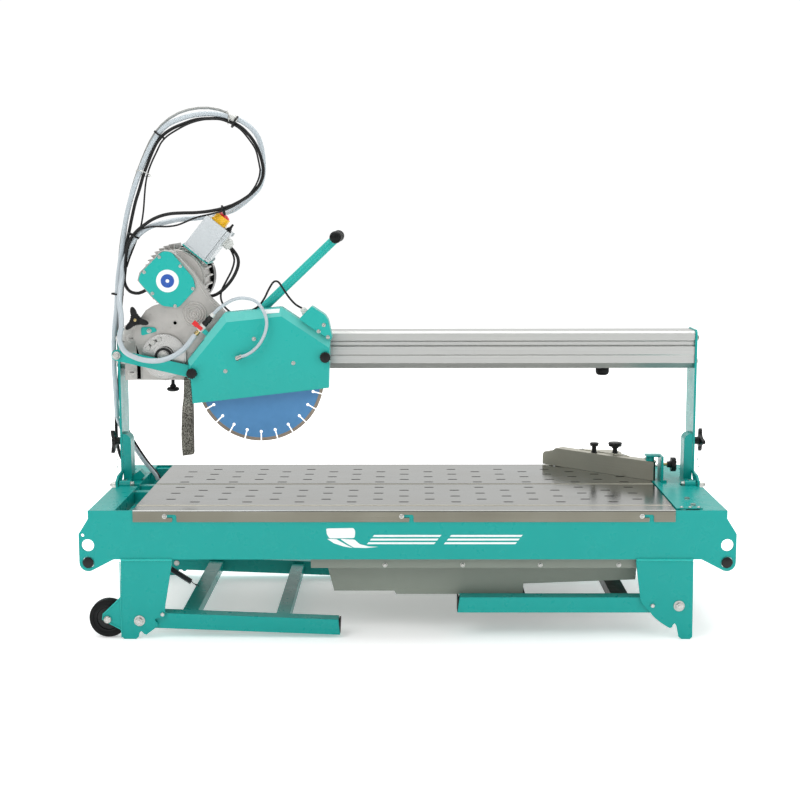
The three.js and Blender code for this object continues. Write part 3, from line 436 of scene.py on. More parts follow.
def paint(name, rgb, edge=0.0012):
    """Powder coat, a little darker in patches, with edges tinted lighter: partly wear, partly a painted highlight."""
    f = Finish(name, rgb, 0.3)
    dark = darker(rgb, 0.82)
    f.tint(f.noise(2.2, detail=4), dark, 0.08).tint(f.noise(9, detail=2, low=0.6, high=0.8), dark, 0.03)
    if edge:
        f.edges(edge, lighter(rgb, 45), 0.35)
    f.roughen(f.noise(30), 0.05)
    return f.bump(f.noise(420, detail=1), 0.05, 0.0002).done(
        Specular_IOR_Level=0.22, Coat_Weight=0.05, Coat_Roughness=0.12)


def brushed(name, rgb, stretch, rough=0.3, blotch=(120, 108, 90), amount=0.25, metal=1.0, grain=0.3, edge=0.7):
    """Metal with streaks along the short sides of stretch, and blotches of another colour."""
    f = Finish(name, rgb, rough, metal)
    streak = f.noise(1, stretch, detail=5)
    f.tint(streak, darker(rgb, 0.8), grain).tint(f.noise(5, (1, 1.6, 1), detail=5), blotch, amount)
    # edges tinted lighter: partly wear, partly a painted highlight
    if edge:
        f.edges(0.0008, lighter(rgb, 50), edge)
    return f.roughen(streak, 0.05).roughen(f.noise(7), 0.04).bump(streak, 0.02, 0.0001).done()


def cast(name, rgb):
    """Grainy sand casting with dark pores, and edges tinted lighter: partly wear, partly a painted highlight."""
    f = Finish(name, rgb, 0.48, 0.55)
    f.tint(f.noise(9, detail=7, low=0.42, high=0.66), darker(rgb, 0.72), 0.45)
    f.tint(f.noise(60, detail=6, low=0.6, high=0.75), (88, 84, 78), 0.4)
    f.edges(0.0018, lighter(rgb, 45), 0.6).roughen(f.noise(80), 0.12)
    return f.bump(f.noise(260, detail=5), 0.35, 0.0006).done()


def plastic(name, rgb, rough=0.4, grain=0.15, edge=0.0012, **numbers):
    f = Finish(name, rgb, rough)
    f.tint(f.noise(6, detail=4), darker(rgb, 0.85), 0.2)
    # edges tinted lighter: partly wear, partly a painted highlight
    if edge:
        f.edges(edge, lighter(rgb, 30), 0.35)
    f.roughen(f.noise(50), 0.07)
    return f.bump(f.noise(600, detail=2), grain, 0.0002).done(**numbers)


def water_hose(name, rgb):
    f = Finish(name, rgb, 0.28)
    f.tint(f.noise(12, detail=2), lighter(rgb, 20), 0.5)
    return f.done(Transmission_Weight=0.12, IOR=1.38, Coat_Weight=0.5, Coat_Roughness=0.08)


def fleece(name, rgb, speck):
    """Matted fibre: light specks on a dark, lumpy mat."""
    f = Finish(name, rgb, 0.85)
    f.tint(f.cells(300, 0.34, 0.62), speck, 0.85).tint(f.noise(30, detail=4), darker(rgb, 0.6), 0.5)
    return f.bump(f.cells(300), 0.8, 0.0012).done(Specular_IOR_Level=0.1)


# TEAL_LIT is the same teal paint made lighter, as painted light on the upper parts that stand in brighter light: the
# guard, lamp box, belt cover, handle tube and their trim
TEAL, TEAL_LIT = (10, 154, 147), (38, 174, 165)
M = {
    "paint": paint("teal_powder_coat", TEAL),
    # lit copies of the teal paint: painted light
    "tube_paint": paint("teal_tube", TEAL_LIT, 0),
    "head_paint": paint("teal_painted_light", TEAL_LIT),
    # a paler teal for faces turned up towards the light: painted sheen
    "fold_sheen_paint": paint("teal_fold_painted_sheen", (92, 192, 184)),
    "rod_zinc": brushed("zinc_rod", (176, 178, 176), (60, 60, 60), 0.34, (150, 146, 132), 0.2, 0.8, 0.1, 0),
    "dark_steel": brushed("spring_steel", (66, 67, 70), (60, 60, 60), 0.4, (50, 48, 46), 0.3, 0.8, 0.1, 0),
    "table": brushed("table_stainless", (156, 158, 156), (3, 700, 700), 0.17, (146, 144, 136), 0.4, grain=0.12,
                     edge=0),
    # a bright strip on the table's step and inner rim: painted highlight
    "crease": brushed("crease_painted_highlight", (226, 222, 206), (4, 900, 900), 0.5, (200, 196, 180), 0.3, 0.4, 0.1, 0),
    # the apron is the table's sheet turned down, coloured darker as painted shade on that face
    "apron": brushed("apron_stainless_shaded", (126, 125, 114), (4, 900, 900), 0.34, (100, 96, 84), 0.5, grain=0.2),
    "profile": brushed("rail_extrusion", (192, 193, 190), (1.5, 700, 700), 0.36, (180, 182, 184), 0.2, 0.85),
    "zinc_steel": brushed("zinc_plate", (190, 191, 188), (90, 90, 90), 0.3, (150, 146, 132), 0.3),
    "casting": cast("sand_casting", (184, 182, 178)),
    "machined": brushed("machined_face", (196, 196, 194), (300, 300, 300), 0.3, (150, 148, 144), 0.2),
    "blade_paint": brushed("blade_blue", (82, 142, 194), (60, 60, 60), 0.5, (76, 132, 182), 0.25, 0.2, grain=0.1),
    "blade_steel": brushed("blade_blank", (92, 144, 196), (60, 60, 60), 0.4, (84, 132, 184), 0.25, 0.35, grain=0.1),
    "fence_steel": brushed("fence_stainless", (192, 190, 176), (4, 4, 700), 0.40, (164, 160, 146), 0.4, grain=0.12),
    "segment": cast("diamond_segment", (150, 138, 124)),
    "tray_plastic": plastic("tray_grey", (122, 130, 120), 0.55, 0.3, 0.003),
    "light_plastic": plastic("housing_grey", (194, 200, 203), 0.42, 0.04),
    "white_plastic": plastic("gland_white", (214, 216, 212), 0.35, 0.04),
    "black_plastic": plastic("black_moulding", (14, 15, 16), 0.36, 0.2, Specular_IOR_Level=0.3),
    "rubber": plastic("black_rubber", (8, 9, 10), 0.5, 0.3, 0.001, Specular_IOR_Level=0.2),
    "cable": plastic("cable_sheath", (18, 19, 20), 0.42, 0.06, 0, Specular_IOR_Level=0.3),
    "red_plastic": plastic("red_moulding", (214, 30, 34), 0.3),
    "yellow_plastic": plastic("yellow_moulding", (240, 186, 22), 0.34),
    "clear_hose": water_hose("clear_hose", (186, 196, 202)),
    "brass": brushed("brass", (196, 178, 128), (200, 200, 200), 0.28, (140, 118, 70), 0.3),
    "white_mark": plastic("white_film", (236, 240, 240), 0.3, 0.05, 0.0004),
    "blue_mark": plastic("blue_film", (34, 84, 170), 0.3, 0.05, 0.0004),
    # shadow_black: painted shade, for the inside of slots and holes
    "dark_hole": plastic("shadow_black", (5, 5, 5), 0.9, 0.1, 0, Specular_IOR_Level=0.0),
    "bristle": fleece("fleece_mat", (62, 60, 54), (168, 166, 156)),
}
M["stainless"] = M["table"]


# ---- mesh helpers --------------------------------------------------------------------------

def keep(name, mesh, finishes, body, sharp=35):
    """A finished piece: shaded smooth apart from its real edges, and riding on its body."""
    for finish in finishes:
        mesh.materials.append(M[finish])
    mesh.shade_smooth()
    mesh.set_sharp_from_angle(angle=math.radians(sharp))
    piece = bpy.data.objects.new(name, mesh)
    bpy.context.scene.collection.objects.link(piece)
    if body:
        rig.ride(piece, body)
    return piece


def from_bmesh(name, bm, finish, body, sharp=35):
    bmesh.ops.recalc_face_normals(bm, faces=bm.faces)
    mesh = bpy.data.meshes.new(name)
    bm.to_mesh(mesh)
    bm.free()
    return keep(name, mesh, [finish], body, sharp)


def frame_of(axis, side=None):
    """Rotation that turns +Z to the axis, and +X near to side."""
    w = Vector(axis).normalized()
    u = Vector(side) if side else (X if abs(w.x) < 0.9 else Y)
    u = (u - w * u.dot(w)).normalized()
    return Matrix((u, w.cross(u), w)).transposed().to_4x4()


def stand(place, axis, side=None):
    """Frame at a place with +Z along the axis, and +X near to side."""
    return Matrix.Translation(place) @ frame_of(axis, side)


def face_on(y):
    """Prism frame whose X and Y are the machine's X and Z, extruded from y towards the operator."""
    return Matrix.Translation((0, y, 0)) @ Matrix((X, Z, FRONT)).transposed().to_4x4()


def add_lathe(bm, profile, matrix, sides=24):
    """Turns [radius, height] points about +Z of the matrix. A radius of 0 closes on the axis."""
    rings = []
    for r, h in profile:
        if r < 1e-7:
            rings.append([bm.verts.new(matrix @ Vector((0, 0, h)))])
        else:
            rings.append([
                bm.verts.new(matrix @ Vector((r * math.cos(a), r * math.sin(a), h)))
                for a in (math.tau * i / sides for i in range(sides))
            ])
    for a, b in zip(rings, rings[1:]):
        for i in range(max(len(a), len(b))):
            j = (i + 1) % sides
            if len(a) == 1 and len(b) == 1:
                continue
            if len(a) == 1:
                bm.faces.new((a[0], b[i], b[j]))
            elif len(b) == 1:
                bm.faces.new((a[i], a[j], b[0]))
            else:
                bm.faces.new((a[i], a[j], b[j], b[i]))
    return bm


def add_prism(bm, outline, matrix, depth, bevel=0.0, steps=2):
    """Extrudes a closed outline in X and Y of the matrix along its +Z, with its rims bevelled."""
    low = [bm.verts.new(matrix @ Vector((x, y, 0))) for x, y in outline]
    high = [bm.verts.new(matrix @ Vector((x, y, depth))) for x, y in outline]
    n = len(outline)
    caps = [bm.faces.new(low[::-1]), bm.faces.new(high)]
    for i in range(n):
        j = (i + 1) % n
        bm.faces.new((low[i], low[j], high[j], high[i]))
    if bevel:
        rims = list({e for c in caps for e in c.edges})
        bmesh.ops.bevel(bm, geom=rims, offset=bevel, segments=steps, affect="EDGES", profile=0.6)
    return bm


def lathe(name, profile, place, axis, finish, body, sides=28, sharp=35):
    matrix = stand(place, axis)
    return from_bmesh(name, add_lathe(bmesh.new(), profile, matrix, sides), finish, body, sharp)


def circle(r, n=24):
    return [(r * math.cos(math.tau * i / n), r * math.sin(math.tau * i / n)) for i in range(n)]


def arc(x, y, r, degrees):
    """Points of a circle about (x, y) at the given angles."""
    return [(x + r * math.cos(a), y + r * math.sin(a)) for a in (math.radians(d) for d in degrees)]


def rectangle(x0, x1, y0, y1):
    return [(x0, y0), (x1, y0), (x1, y1), (x0, y1)]


def rounded(corners, radius, steps=4):
    """A polygon with rounded corners."""
    points = []
    n = len(corners)
    for i, c in enumerate(corners):
        here, before, after = Vector(c), Vector(corners[i - 1]), Vector(corners[(i + 1) % n])
        a = here + (before - here).normalized() * min(radius, (before - here).length / 2.1)
        b = here + (after - here).normalized() * min(radius, (after - here).length / 2.1)
        for k in range(steps + 1):
            t = k / steps
            p = a * (1 - t) ** 2 + here * (2 * t * (1 - t)) + b * t ** 2
            points.append((p.x, p.y))
    return points


def smooth_path(points, spacing):
    """Points along a centripetal Catmull-Rom curve through the given ones, evenly close together."""
    pts = [Vector(p) for p in points]
    ends = [pts[0] * 2 - pts[1]] + pts + [pts[-1] * 2 - pts[-2]]
    out = [pts[0]]
    for p0, p1, p2, p3 in zip(ends, ends[1:], ends[2:], ends[3:]):
        t1 = (p1 - p0).length ** 0.5
        t2 = t1 + (p2 - p1).length ** 0.5
        t3 = t2 + (p3 - p2).length ** 0.5
        count = max(2, int((p2 - p1).length / spacing))
        for k in range(1, count + 1):
            t = t1 + (t2 - t1) * k / count
            a1 = p0 * ((t1 - t) / t1) + p1 * (t / t1)
            a2 = p1 * ((t2 - t) / (t2 - t1)) + p2 * ((t - t1) / (t2 - t1))
            a3 = p2 * ((t3 - t) / (t3 - t2)) + p3 * ((t - t2) / (t3 - t2))
            b1 = a1 * ((t2 - t) / t2) + a2 * (t / t2)
            b2 = a2 * ((t3 - t) / (t3 - t1)) + a3 * ((t - t1) / (t3 - t1))
            out.append(b1 * ((t2 - t) / (t2 - t1)) + b2 * ((t - t1) / (t2 - t1)))
    return out


def add_tube(bm, path, radius, sides=12):
    """A round tube along the path with closed, rounded ends."""
    side = None
    rings = []
    n = len(path)
    for i, p in enumerate(path):
        ahead = (path[min(i + 1, n - 1)] - path[max(i - 1, 0)]).normalized()
        side = Vector(side) if side else (Z if abs(ahead.z) < 0.8 else Y)
        side = (side - ahead * side.dot(ahead)).normalized()
        other = ahead.cross(side)
        rings.append([
            bm.verts.new(p + (side * math.cos(a) + other * math.sin(a)) * radius)
            for a in (math.tau * k / sides for k in range(sides))
        ])
    for a, b in zip(rings, rings[1:]):
        for i in range(sides):
            j = (i + 1) % sides
            bm.faces.new((a[i], a[j], b[j], b[i]))
    bm.faces.new(rings[0][::-1])
    bm.faces.new(rings[-1])
    return bm


def length_of(path):
    return sum((b - a).length for a, b in zip(path, path[1:]))


# ---- fasteners: collected into one piece per body and finish --------------------------------

gathered = {}


def stand_in(piece, node, slot):
    """Shows a piece in the place of a CAD node, under that node's material slot."""
    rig.replaces(piece, node)
    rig.slot(piece, slot)


def pile(body, finish):
    return gathered.setdefault((body, finish), bmesh.new())


def button_screw(body, place, axis, r, washer=1.3):
    """A washer under a domed head with a round socket. The washer is given as a part of the head's radius."""
    matrix = stand(place, axis)
    bm = pile(body, "zinc_steel")
    add_lathe(bm, [(0, 0), (r * washer, 0), (r * washer, r * 0.22), (r, r * 0.24), (0, r * 0.24)], matrix, 20)
    add_lathe(bm, [(0, r * 0.2), (r, r * 0.2), (r * 0.97, r * 0.45), (r * 0.75, r * 0.8), (r * 0.45, r * 0.92),
                   (r * 0.42, r * 0.5), (0, r * 0.46)], matrix, 18)


def hex_bolt(body, place, axis, r, washer=1.55):
    """A washer and a chamfered hexagon, turned at random."""
    matrix = stand(place, axis) @ Matrix.Rotation(rng.uniform(0, 1), 4, "Z")
    bm = pile(body, "zinc_steel")
    wide = r * washer
    add_lathe(bm, [(0, 0), (wide, 0), (wide * 1.02, r * 0.1), (wide, r * 0.22), (0, r * 0.22)], matrix, 24)
    add_prism(bm, circle(r, 6), matrix @ Matrix.Translation((0, 0, r * 0.2)), r * 0.75, r * 0.1, 1)


def weld(body, a, b, r=0.0022, finish="paint"):
    """A rippled bead from a to b."""
    sides, ripple = 8, 0.004
    count = max(4, int((b - a).length / ripple))
    side = (b - a).normalized().orthogonal().normalized() * r * 0.12
    path = [a.lerp(b, i / count) + side * rng.uniform(-1, 1) for i in range(count + 1)]
    bm = pile(body, finish)
    turn = frame_of(b - a).to_3x3()
    last = None
    for i, p in enumerate(path):
        loop = [bm.verts.new(p + turn @ Vector((x, y, 0))) for x, y in circle(r * (1.12 if i % 2 else 0.92), sides)]
        if last:
            for k in range(sides):
                after = (k + 1) % sides
                bm.faces.new((last[k], last[after], loop[after], loop[k]))
        else:
            bm.faces.new(loop[::-1])
        last = loop
    bm.faces.new(last)


def place_piles():
    for (body, finish), bm in gathered.items():
        from_bmesh(f"fittings_{body}_{finish}", bm, finish, body, 30)


# ---- table ---------------------------------------------------------------------------------

# Rows of slots, front to rear in millimetres from the blade's line, with every other row set over by half a pitch.
SLOT_ROWS = {"table_panel_front": (-33.5, -74.0, -113.0, -151.5, -191.3, -226.2),
             "table_panel_rear": (41.6, 79.2, 117.6, 156.4, 193.3, 231.0)}
SLOT_PITCH, SLOT_START, SLOT_LONG, SLOT_WIDE = 0.1362, -0.6215, 0.027, 0.0085
SHEET, BORDER, BORDER_STEP, BEND = 0.0022, 0.060, -0.0014, 0.0035
BAYONETS = (-0.617, -0.014, 0.596)
BAYONET_HEIGHT, BAYONET_EYE = 0.323, 0.0042


def ring(bm, points):
    """A closed loop of edges."""
    verts = [bm.verts.new(p) for p in points]
    return [bm.edges.new((verts[i], verts[(i + 1) % len(verts)])) for i in range(len(verts))]


def fill(bm, edges, normal):
    """Faces between the loops of edges, with the inner ones left open, all turned to the normal."""
    before = set(bm.faces)
    bmesh.ops.triangle_fill(bm, use_beauty=True, use_dissolve=False, edges=edges, normal=normal)
    return set(bm.faces) - before


def sheet_piece(name, bm, finishes, body, outward, thickness):
    """A flat piece from faces that all look outward, with its thickness behind them."""
    for face in bm.faces:
        face.normal_update()
        if face.normal.dot(outward) < 0:
            face.normal_flip()
    mesh = bpy.data.meshes.new(name)
    bm.to_mesh(mesh)
    bm.free()
    piece = keep(name, mesh, finishes, body, 50)
    mesh.shade_flat()
    thick = piece.modifiers.new("thickness", "SOLIDIFY")
    thick.thickness, thick.offset = thickness, -1
    return piece, thick


def slot_outline(x, y):
    r, straight = SLOT_WIDE / 2, (SLOT_LONG - SLOT_WIDE) / 2
    return arc(x + straight, y, r, (-90, -45, 0, 45, 90)) + arc(x - straight, y, r, (90, 135, 180, 225, 270))


def slot_field(bm, rows, lo, hi):
    edges = []
    for k, y in enumerate(rows):
        x = SLOT_START + SLOT_PITCH / 2 * (k % 2)
        while x < hi.x - 0.02:
            edges += ring(bm, [(a, b, hi.z) for a, b in slot_outline(x, y / 1000)])
            x += SLOT_PITCH
    return edges


def apron_outline(lo, hi, top):
    """The apron seen from outside, with a bayonet slot up to each screw."""
    c, eye = BAYONET_HEIGHT, BAYONET_EYE
    outline = [(lo.x, lo.z)]
    for b in BAYONETS:
        outline += [(b + 0.018, lo.z), (b + 0.0195, lo.z + 0.003), (b + 0.0195, c - eye),
                    *arc(b, c, eye, (-90, -135, 180, 135, 90)), (b + 0.027, c + eye), (b + 0.0305, c + 0.001),
                    (b + 0.0305, lo.z + 0.003), (b + 0.032, lo.z)]
    return [*outline, (hi.x, lo.z), (hi.x, top), (lo.x, top)]


def table_panel(node, side):
    """The slotted stainless sheet: a field of slots, a border a step lower and a turned-down apron."""
    lo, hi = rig.box(node)
    outer, inner = (hi.y, lo.y) if side > 0 else (lo.y, hi.y)
    crease, border_top = outer - side * BORDER, hi.z + BORDER_STEP
    bm = bmesh.new()
    field = ring(bm, [(x, y, hi.z) for x, y in rectangle(lo.x, hi.x, inner, crease)])
    fill(bm, field + slot_field(bm, SLOT_ROWS[node], lo, hi), (0, 0, 1))
    section = [(crease, hi.z), (crease + side * 0.0006, border_top), (outer - side * BEND, border_top)]
    section += [(outer - side * BEND * (1 - math.sin(a)), border_top - BEND * (1 - math.cos(a)))
                for a in (math.radians(d) for d in (22.5, 45, 67.5, 90))]
    rows = [[bm.verts.new((x, y, z)) for y, z in section] for x in (lo.x, hi.x)]
    for i in range(len(section) - 1):
        strip = bm.faces.new((rows[0][i], rows[1][i], rows[1][i + 1], rows[0][i + 1]))
        # the step down to the border takes the crease finish: a painted highlight
        strip.material_index = 0 if i else 4
    apron = ring(bm, [(x, outer, z) for x, z in apron_outline(lo, hi, section[-1][1])])
    for face in fill(bm, apron, (0, side, 0)):
        face.material_index = 1
    bmesh.ops.remove_doubles(bm, verts=bm.verts, dist=1e-5)
    finishes = ["table", "apron", "dark_hole", "apron", "crease"]
    piece, thick = sheet_piece(node + "_sheet", bm, finishes, "base", Vector((0, side, 1)), SHEET)
    # the slot walls and the sheet's cut edges take shadow_black: painted shade
    thick.material_offset_rim = 2
    stand_in(piece, node, "stainless")
    # a thin bright strip along the inner rim: painted highlight
    lip = rectangle(lo.x, hi.x, hi.z - 0.0055, hi.z - 0.0002)
    add_prism(pile("base", "crease"), lip, face_on(inner), 0.0005)
    for x in BAYONETS:
        button_screw("base", Vector((x, outer + side * 0.0002, BAYONET_HEIGHT)), (0, side, 0), 0.0042, 1.5)


# ---- blade ---------------------------------------------------------------------------------

SEGMENTS, SEGMENT_HEIGHT, SEGMENT_THICK, CORE_THICK = 24, 0.0085, 0.0032, 0.0024
SLIT, SLIT_DEPTH, SLIT_EYE, BORE = 0.0016, 0.0255, 0.0042, 0.0127  # half width, to the eye's middle, radii


def blade_outline(core, root):
    """The core's rim, with a keyhole slit after every segment."""
    pitch = math.tau / SEGMENTS
    gap, opening = math.asin(SLIT / core), math.asin(SLIT / SLIT_EYE)
    outline = []
    for k in range(SEGMENTS):
        for t in (0, 0.25, 0.5, 0.75, 1):
            angle = k * pitch + gap + (pitch - 2 * gap) * t
            outline.append((core * math.cos(angle), core * math.sin(angle)))
        b = (k + 1) * pitch
        along, across = Vector((math.cos(b), math.sin(b))), Vector((-math.sin(b), math.cos(b)))
        for t in range(9):
            turn = -opening - (math.tau - 2 * opening) * t / 8
            p = along * (root + SLIT_EYE * math.cos(turn)) + across * (SLIT_EYE * math.sin(turn))
            outline.append((p.x, p.y))
    return outline


def blade_piece():
    arbor = Vector(joints["blade_spin"]["pos_m"])
    lo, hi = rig.box("blade")
    radius, y = (hi.x - lo.x) / 2, (lo.y + hi.y) / 2
    core = radius - SEGMENT_HEIGHT
    bm = bmesh.new()
    edges = []
    for outline in (blade_outline(core, radius - SLIT_DEPTH), circle(BORE)):
        edges += ring(bm, [(arbor.x + a, y - CORE_THICK / 2, arbor.z + b) for a, b in outline])
    fill(bm, edges, FRONT)
    piece, _ = sheet_piece("blade_core", bm, ["blade_paint"], "blade", FRONT, CORE_THICK)
    stand_in(piece, "blade", "blade_steel")
    bm = bmesh.new()
    upright = Matrix(((1, 0, 0), (0, 0, 1), (0, 1, 0))).to_4x4()
    lay = Matrix.Translation((arbor.x, y - SEGMENT_THICK / 2, arbor.z)) @ upright
    pitch, gap = math.tau / SEGMENTS, math.asin(SLIT / core)
    for k in range(SEGMENTS):
        angles = [k * pitch + gap + (pitch - 2 * gap) * t / 5 for t in range(6)]
        shape = [(r * math.cos(a), r * math.sin(a))
                 for r, turn in ((radius, angles), (core - 0.0006, angles[::-1])) for a in turn]
        add_prism(bm, shape, lay, SEGMENT_THICK, 0.0004, 1)
    from_bmesh("blade_segments", bm, "segment", "blade", 40)


# ---- knobs ---------------------------------------------------------------------------------

def mushroom(bm, matrix, r, height, stem):
    """A turned mushroom knob on its stem, standing on the matrix's origin."""
    profile = [(0.72, 0.55), (0.95, 0.62), (1, 0.74), (0.95, 0.86), (0.72, 0.96), (0, 1)]
    add_lathe(bm, [(0, 0), (stem, 0), (stem, height * 0.45), *((r * a, height * b) for a, b in profile)], matrix, 32)


def lobed(bm, matrix, r, depth, lobes, bevel):
    """A round knob with shallow finger grooves between its lobes."""
    points = []
    for i in range(lobes * 8):
        a = math.tau * i / (lobes * 8)
        reach = r * (1 - 0.10 * (0.5 - 0.5 * math.cos(lobes * a)) ** 2)
        points.append((reach * math.cos(a), reach * math.sin(a)))
    add_prism(bm, points, matrix, depth, bevel, 3)


def three_arms(name, node, joint, turn=90):
    """The clamping knob: three tapered arms swept back from the hub, with a brass centre."""
    j = joints[joint]
    lo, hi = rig.box(node)
    axis = Vector(j["axis"])
    centre = Vector(j["pos_m"])
    outward = axis if (hi + lo).dot(axis) / 2 > centre.dot(axis) else -axis
    matrix = stand(centre, outward, Z if abs(outward.z) < 0.5 else X) @ Matrix.Rotation(math.radians(turn), 4, "Z")
    depth = max((hi - centre).dot(outward), (lo - centre).dot(outward))
    waist, reach, slimness, swept = 0.0145, 0.037, 3.4, 2.2
    bm = bmesh.new()
    points = []
    for i in range(96):
        a = math.tau * i / 96
        out = waist + (reach - waist) * (0.5 + 0.5 * math.cos(3 * a)) ** slimness
        points.append((out * math.cos(a), out * math.sin(a)))
    add_prism(bm, points, Matrix.Identity(4), 0.010, 0.0018, 2)
    for v in bm.verts:
        v.co.z += depth - 0.0125 + swept * (v.co.x ** 2 + v.co.y ** 2)
        v.co = matrix @ v.co
    add_lathe(bm, [(0, 0.0004), (0.0095, 0.0004), (0.0115, depth * 0.5), (0.0125, depth - 0.004), (0.0085, depth),
                   (0, depth)], matrix, 24)
    piece = from_bmesh(name, bm, "black_plastic", j["child"], 40)
    stand_in(piece, node, "black_plastic")
    add_lathe(pile(j["child"], "brass"), [(0, depth), (0.0042, depth), (0.0040, depth + 0.0012), (0, depth + 0.0014)],
              matrix, 18)


# ---- cables and hoses ----------------------------------------------------------------------

# Routes and radii in millimetres. Each of the three long runs goes up the rod and comes back to the head in a loop.
HOSE_R, CABLE_R, THIN_R = 7.2, 4.6, 2.5
PUMP_HOSE_R, PUMP_CABLE_R, LAMP_CABLE_R, GUARD_HOSE_R = 5.6, 3.4, 2.8, 4.5
ROD_TIP, LOOP_SIDE, LOOP_LOW = (-487, 118, 1340), (-396, 92, 1200), (-470, 80, 1108)
BRACKET_END, VALVE_BEND = 4, 10  # points of the power cable before the bridge, and of the water hose after the head
HOSE_UP = [(-828, 150, 510), (-826, 130, 580), (-826, 119, 650), (-824, 119, 740), (-814, 119, 820), (-808, 119, 900),
           (-801, 119, 945), (-792, 119, 998), (-783, 119, 1057), (-772, 119, 1103), (-760, 119, 1142),
           (-749, 119, 1172), (-736, 119, 1205), (-720, 119, 1241), (-701, 119, 1277), (-681, 119, 1306),
           (-657, 119, 1327), (-630, 119, 1339), (-599, 119, 1349), (-568, 119, 1354), (-541, 119, 1355),
           (-514, 119, 1352), (-487, 119, 1345)]
CABLE_UP = [(-806, 212, 339), (-812, 206, 354), (-829, 190, 385), (-836, 176, 440), (-834, 164, 510),
            (-822, 142, 580), (-812, 122, 650), (-811, 118, 740), (-802, 118, 820), (-793, 117, 905),
            (-788, 117, 956), (-780, 117, 1002), (-772, 117, 1037), (-762, 117, 1080), (-752, 117, 1118),
            (-740, 117, 1153), (-729, 117, 1188), (-717, 117, 1218), (-704, 117, 1249), (-688, 117, 1279),
            (-670, 117, 1299), (-646, 117, 1315), (-615, 117, 1328), (-580, 117, 1339), (-541, 117, 1342),
            (-510, 117, 1341), (-485, 117, 1334)]
THIN_UP = [(-780, 106, 936), (-772, 107, 960), (-761, 108, 987), (-747, 109, 1022), (-737, 109, 1053),
           (-730, 109, 1091), (-726, 109, 1130), (-722, 109, 1164), (-716, 109, 1191), (-704, 108, 1222),
           (-690, 108, 1250), (-675, 108, 1278), (-658, 108, 1295), (-634, 108, 1310), (-603, 108, 1326),
           (-572, 108, 1336), (-541, 108, 1340), (-510, 108, 1338), (-484, 108, 1329)]
PUMP_HOSE = [(-829, 150, 510), (-826, 172, 482), (-818, 190, 455), (-798, 196, 424), (-764, 196, 372),
             (-728, 188, 330), (-722, 185, 318)]
PUMP_CABLE = [(-818, 168, 520), (-813, 186, 490), (-804, 204, 452), (-788, 208, 420), (-756, 207, 370),
              (-724, 200, 330), (-716, 196, 316)]
HOSE_LOOP = [(-487, 119, 1345), (-466, 117, 1340), (-444, 116, 1328), (-424, 117, 1311), (-409, 120, 1288),
             (-401, 126, 1256), (-398, 134, 1222), (-400, 142, 1191), (-411, 152, 1157), (-433, 162, 1133),
             (-458, 171, 1112), (-491, 180, 1091), (-523, 183, 1082), (-563, 184, 1074), (-595, 184, 1070),
             (-634, 172, 1067), (-671, 118, 1059), (-708, 96, 1048), (-729, 95, 1036), (-746, 95, 1021),
             (-761, 96, 1003), (-776, 98, 972), (-788, 98, 940), (-789, 82, 908), (-787, 42, 872), (-780, -6, 843),
             (-773, -25, 812), (-772, -31, 780), (-777, -34, 746), (-765, -35, 716), (-738, -35, 699),
             (-706, -35, 690), (-668, -35, 690), (-628, -32, 704), (-600, -22, 726), (-585, -9, 746),
             (-578, -3, 755)]
CABLE_LOOP = [(-485, 117, 1334), (-456, 111, 1318), (-432, 105, 1295), (-413, 100, 1267), (-401, 96, 1236),
              (-394, 92, 1206), (-396, 89, 1183), (-406, 85, 1160), (-425, 82, 1139), (-452, 80, 1120),
              (-479, 80, 1106), (-507, 80, 1097), (-542, 80, 1090), (-580, 81, 1086), (-619, 82, 1085),
              (-651, 83, 1083), (-678, 84, 1077), (-702, 85, 1067), (-722, 86, 1054), (-742, 87, 1039),
              (-758, 88, 1022), (-770, 90, 1000), (-778, 92, 968), (-781, 92, 933), (-784, 92, 892), (-770, 92, 869),
              (-746, 92, 864), (-727, 92, 872), (-712, 92, 880)]
THIN_LOOP = [(-484, 108, 1329), (-458, 103, 1313), (-434, 98, 1286), (-415, 92, 1257), (-407, 87, 1228),
             (-402, 82, 1202), (-404, 80, 1186), (-412, 77, 1164), (-428, 74, 1140), (-454, 72, 1116),
             (-481, 72, 1100), (-507, 72, 1090), (-542, 73, 1081), (-581, 75, 1072), (-608, 77, 1061),
             (-632, 79, 1052), (-660, 80, 1048), (-699, 80, 1048), (-722, 80, 1044), (-742, 81, 1037),
             (-757, 82, 1022), (-769, 84, 996), (-780, 84, 950)]
MOTOR_CABLE = [(-492, 110, 991), (-482, 108, 981), (-470, 102, 962), (-468, 92, 941), (-481, 80, 908),
               (-504, 72, 879), (-526, 70, 862), (-544, 74, 857), (-556, 88, 862)]
LAMP_FEED = [(-492, 106, 988), (-484, 102, 973), (-479, 97, 956), (-485, 90, 929), (-502, 82, 895), (-513, 76, 872),
             (-514, 66, 850), (-504, 60, 829), (-488, 56, 814)]
GUARD_HOSE = [(-529.5, -2, 809.5), (-516, -4, 824), (-494, -10, 840), (-467, -20, 854), (-439, -28, 858),
              (-408, -34, 850), (-388, -38, 827), (-378, -40, 796), (-383, -42, 764), (-399, -42, 734),
              (-422, -42, 712), (-443, -40, 702), (-450, -36, 700), (-450, -23, 700)]
LAMP_LEAD = [(-486, 55, 814), (-453, 40, 815), (-424, 20, 822), (-404, 12, 834), (-388, 6, 855), (-374, 2, 882),
             (-360, -2, 901), (-350, -4, 901), (-337, -5, 884), (-319, -5, 857), (-301, -5, 838), (-285, -5, 829)]


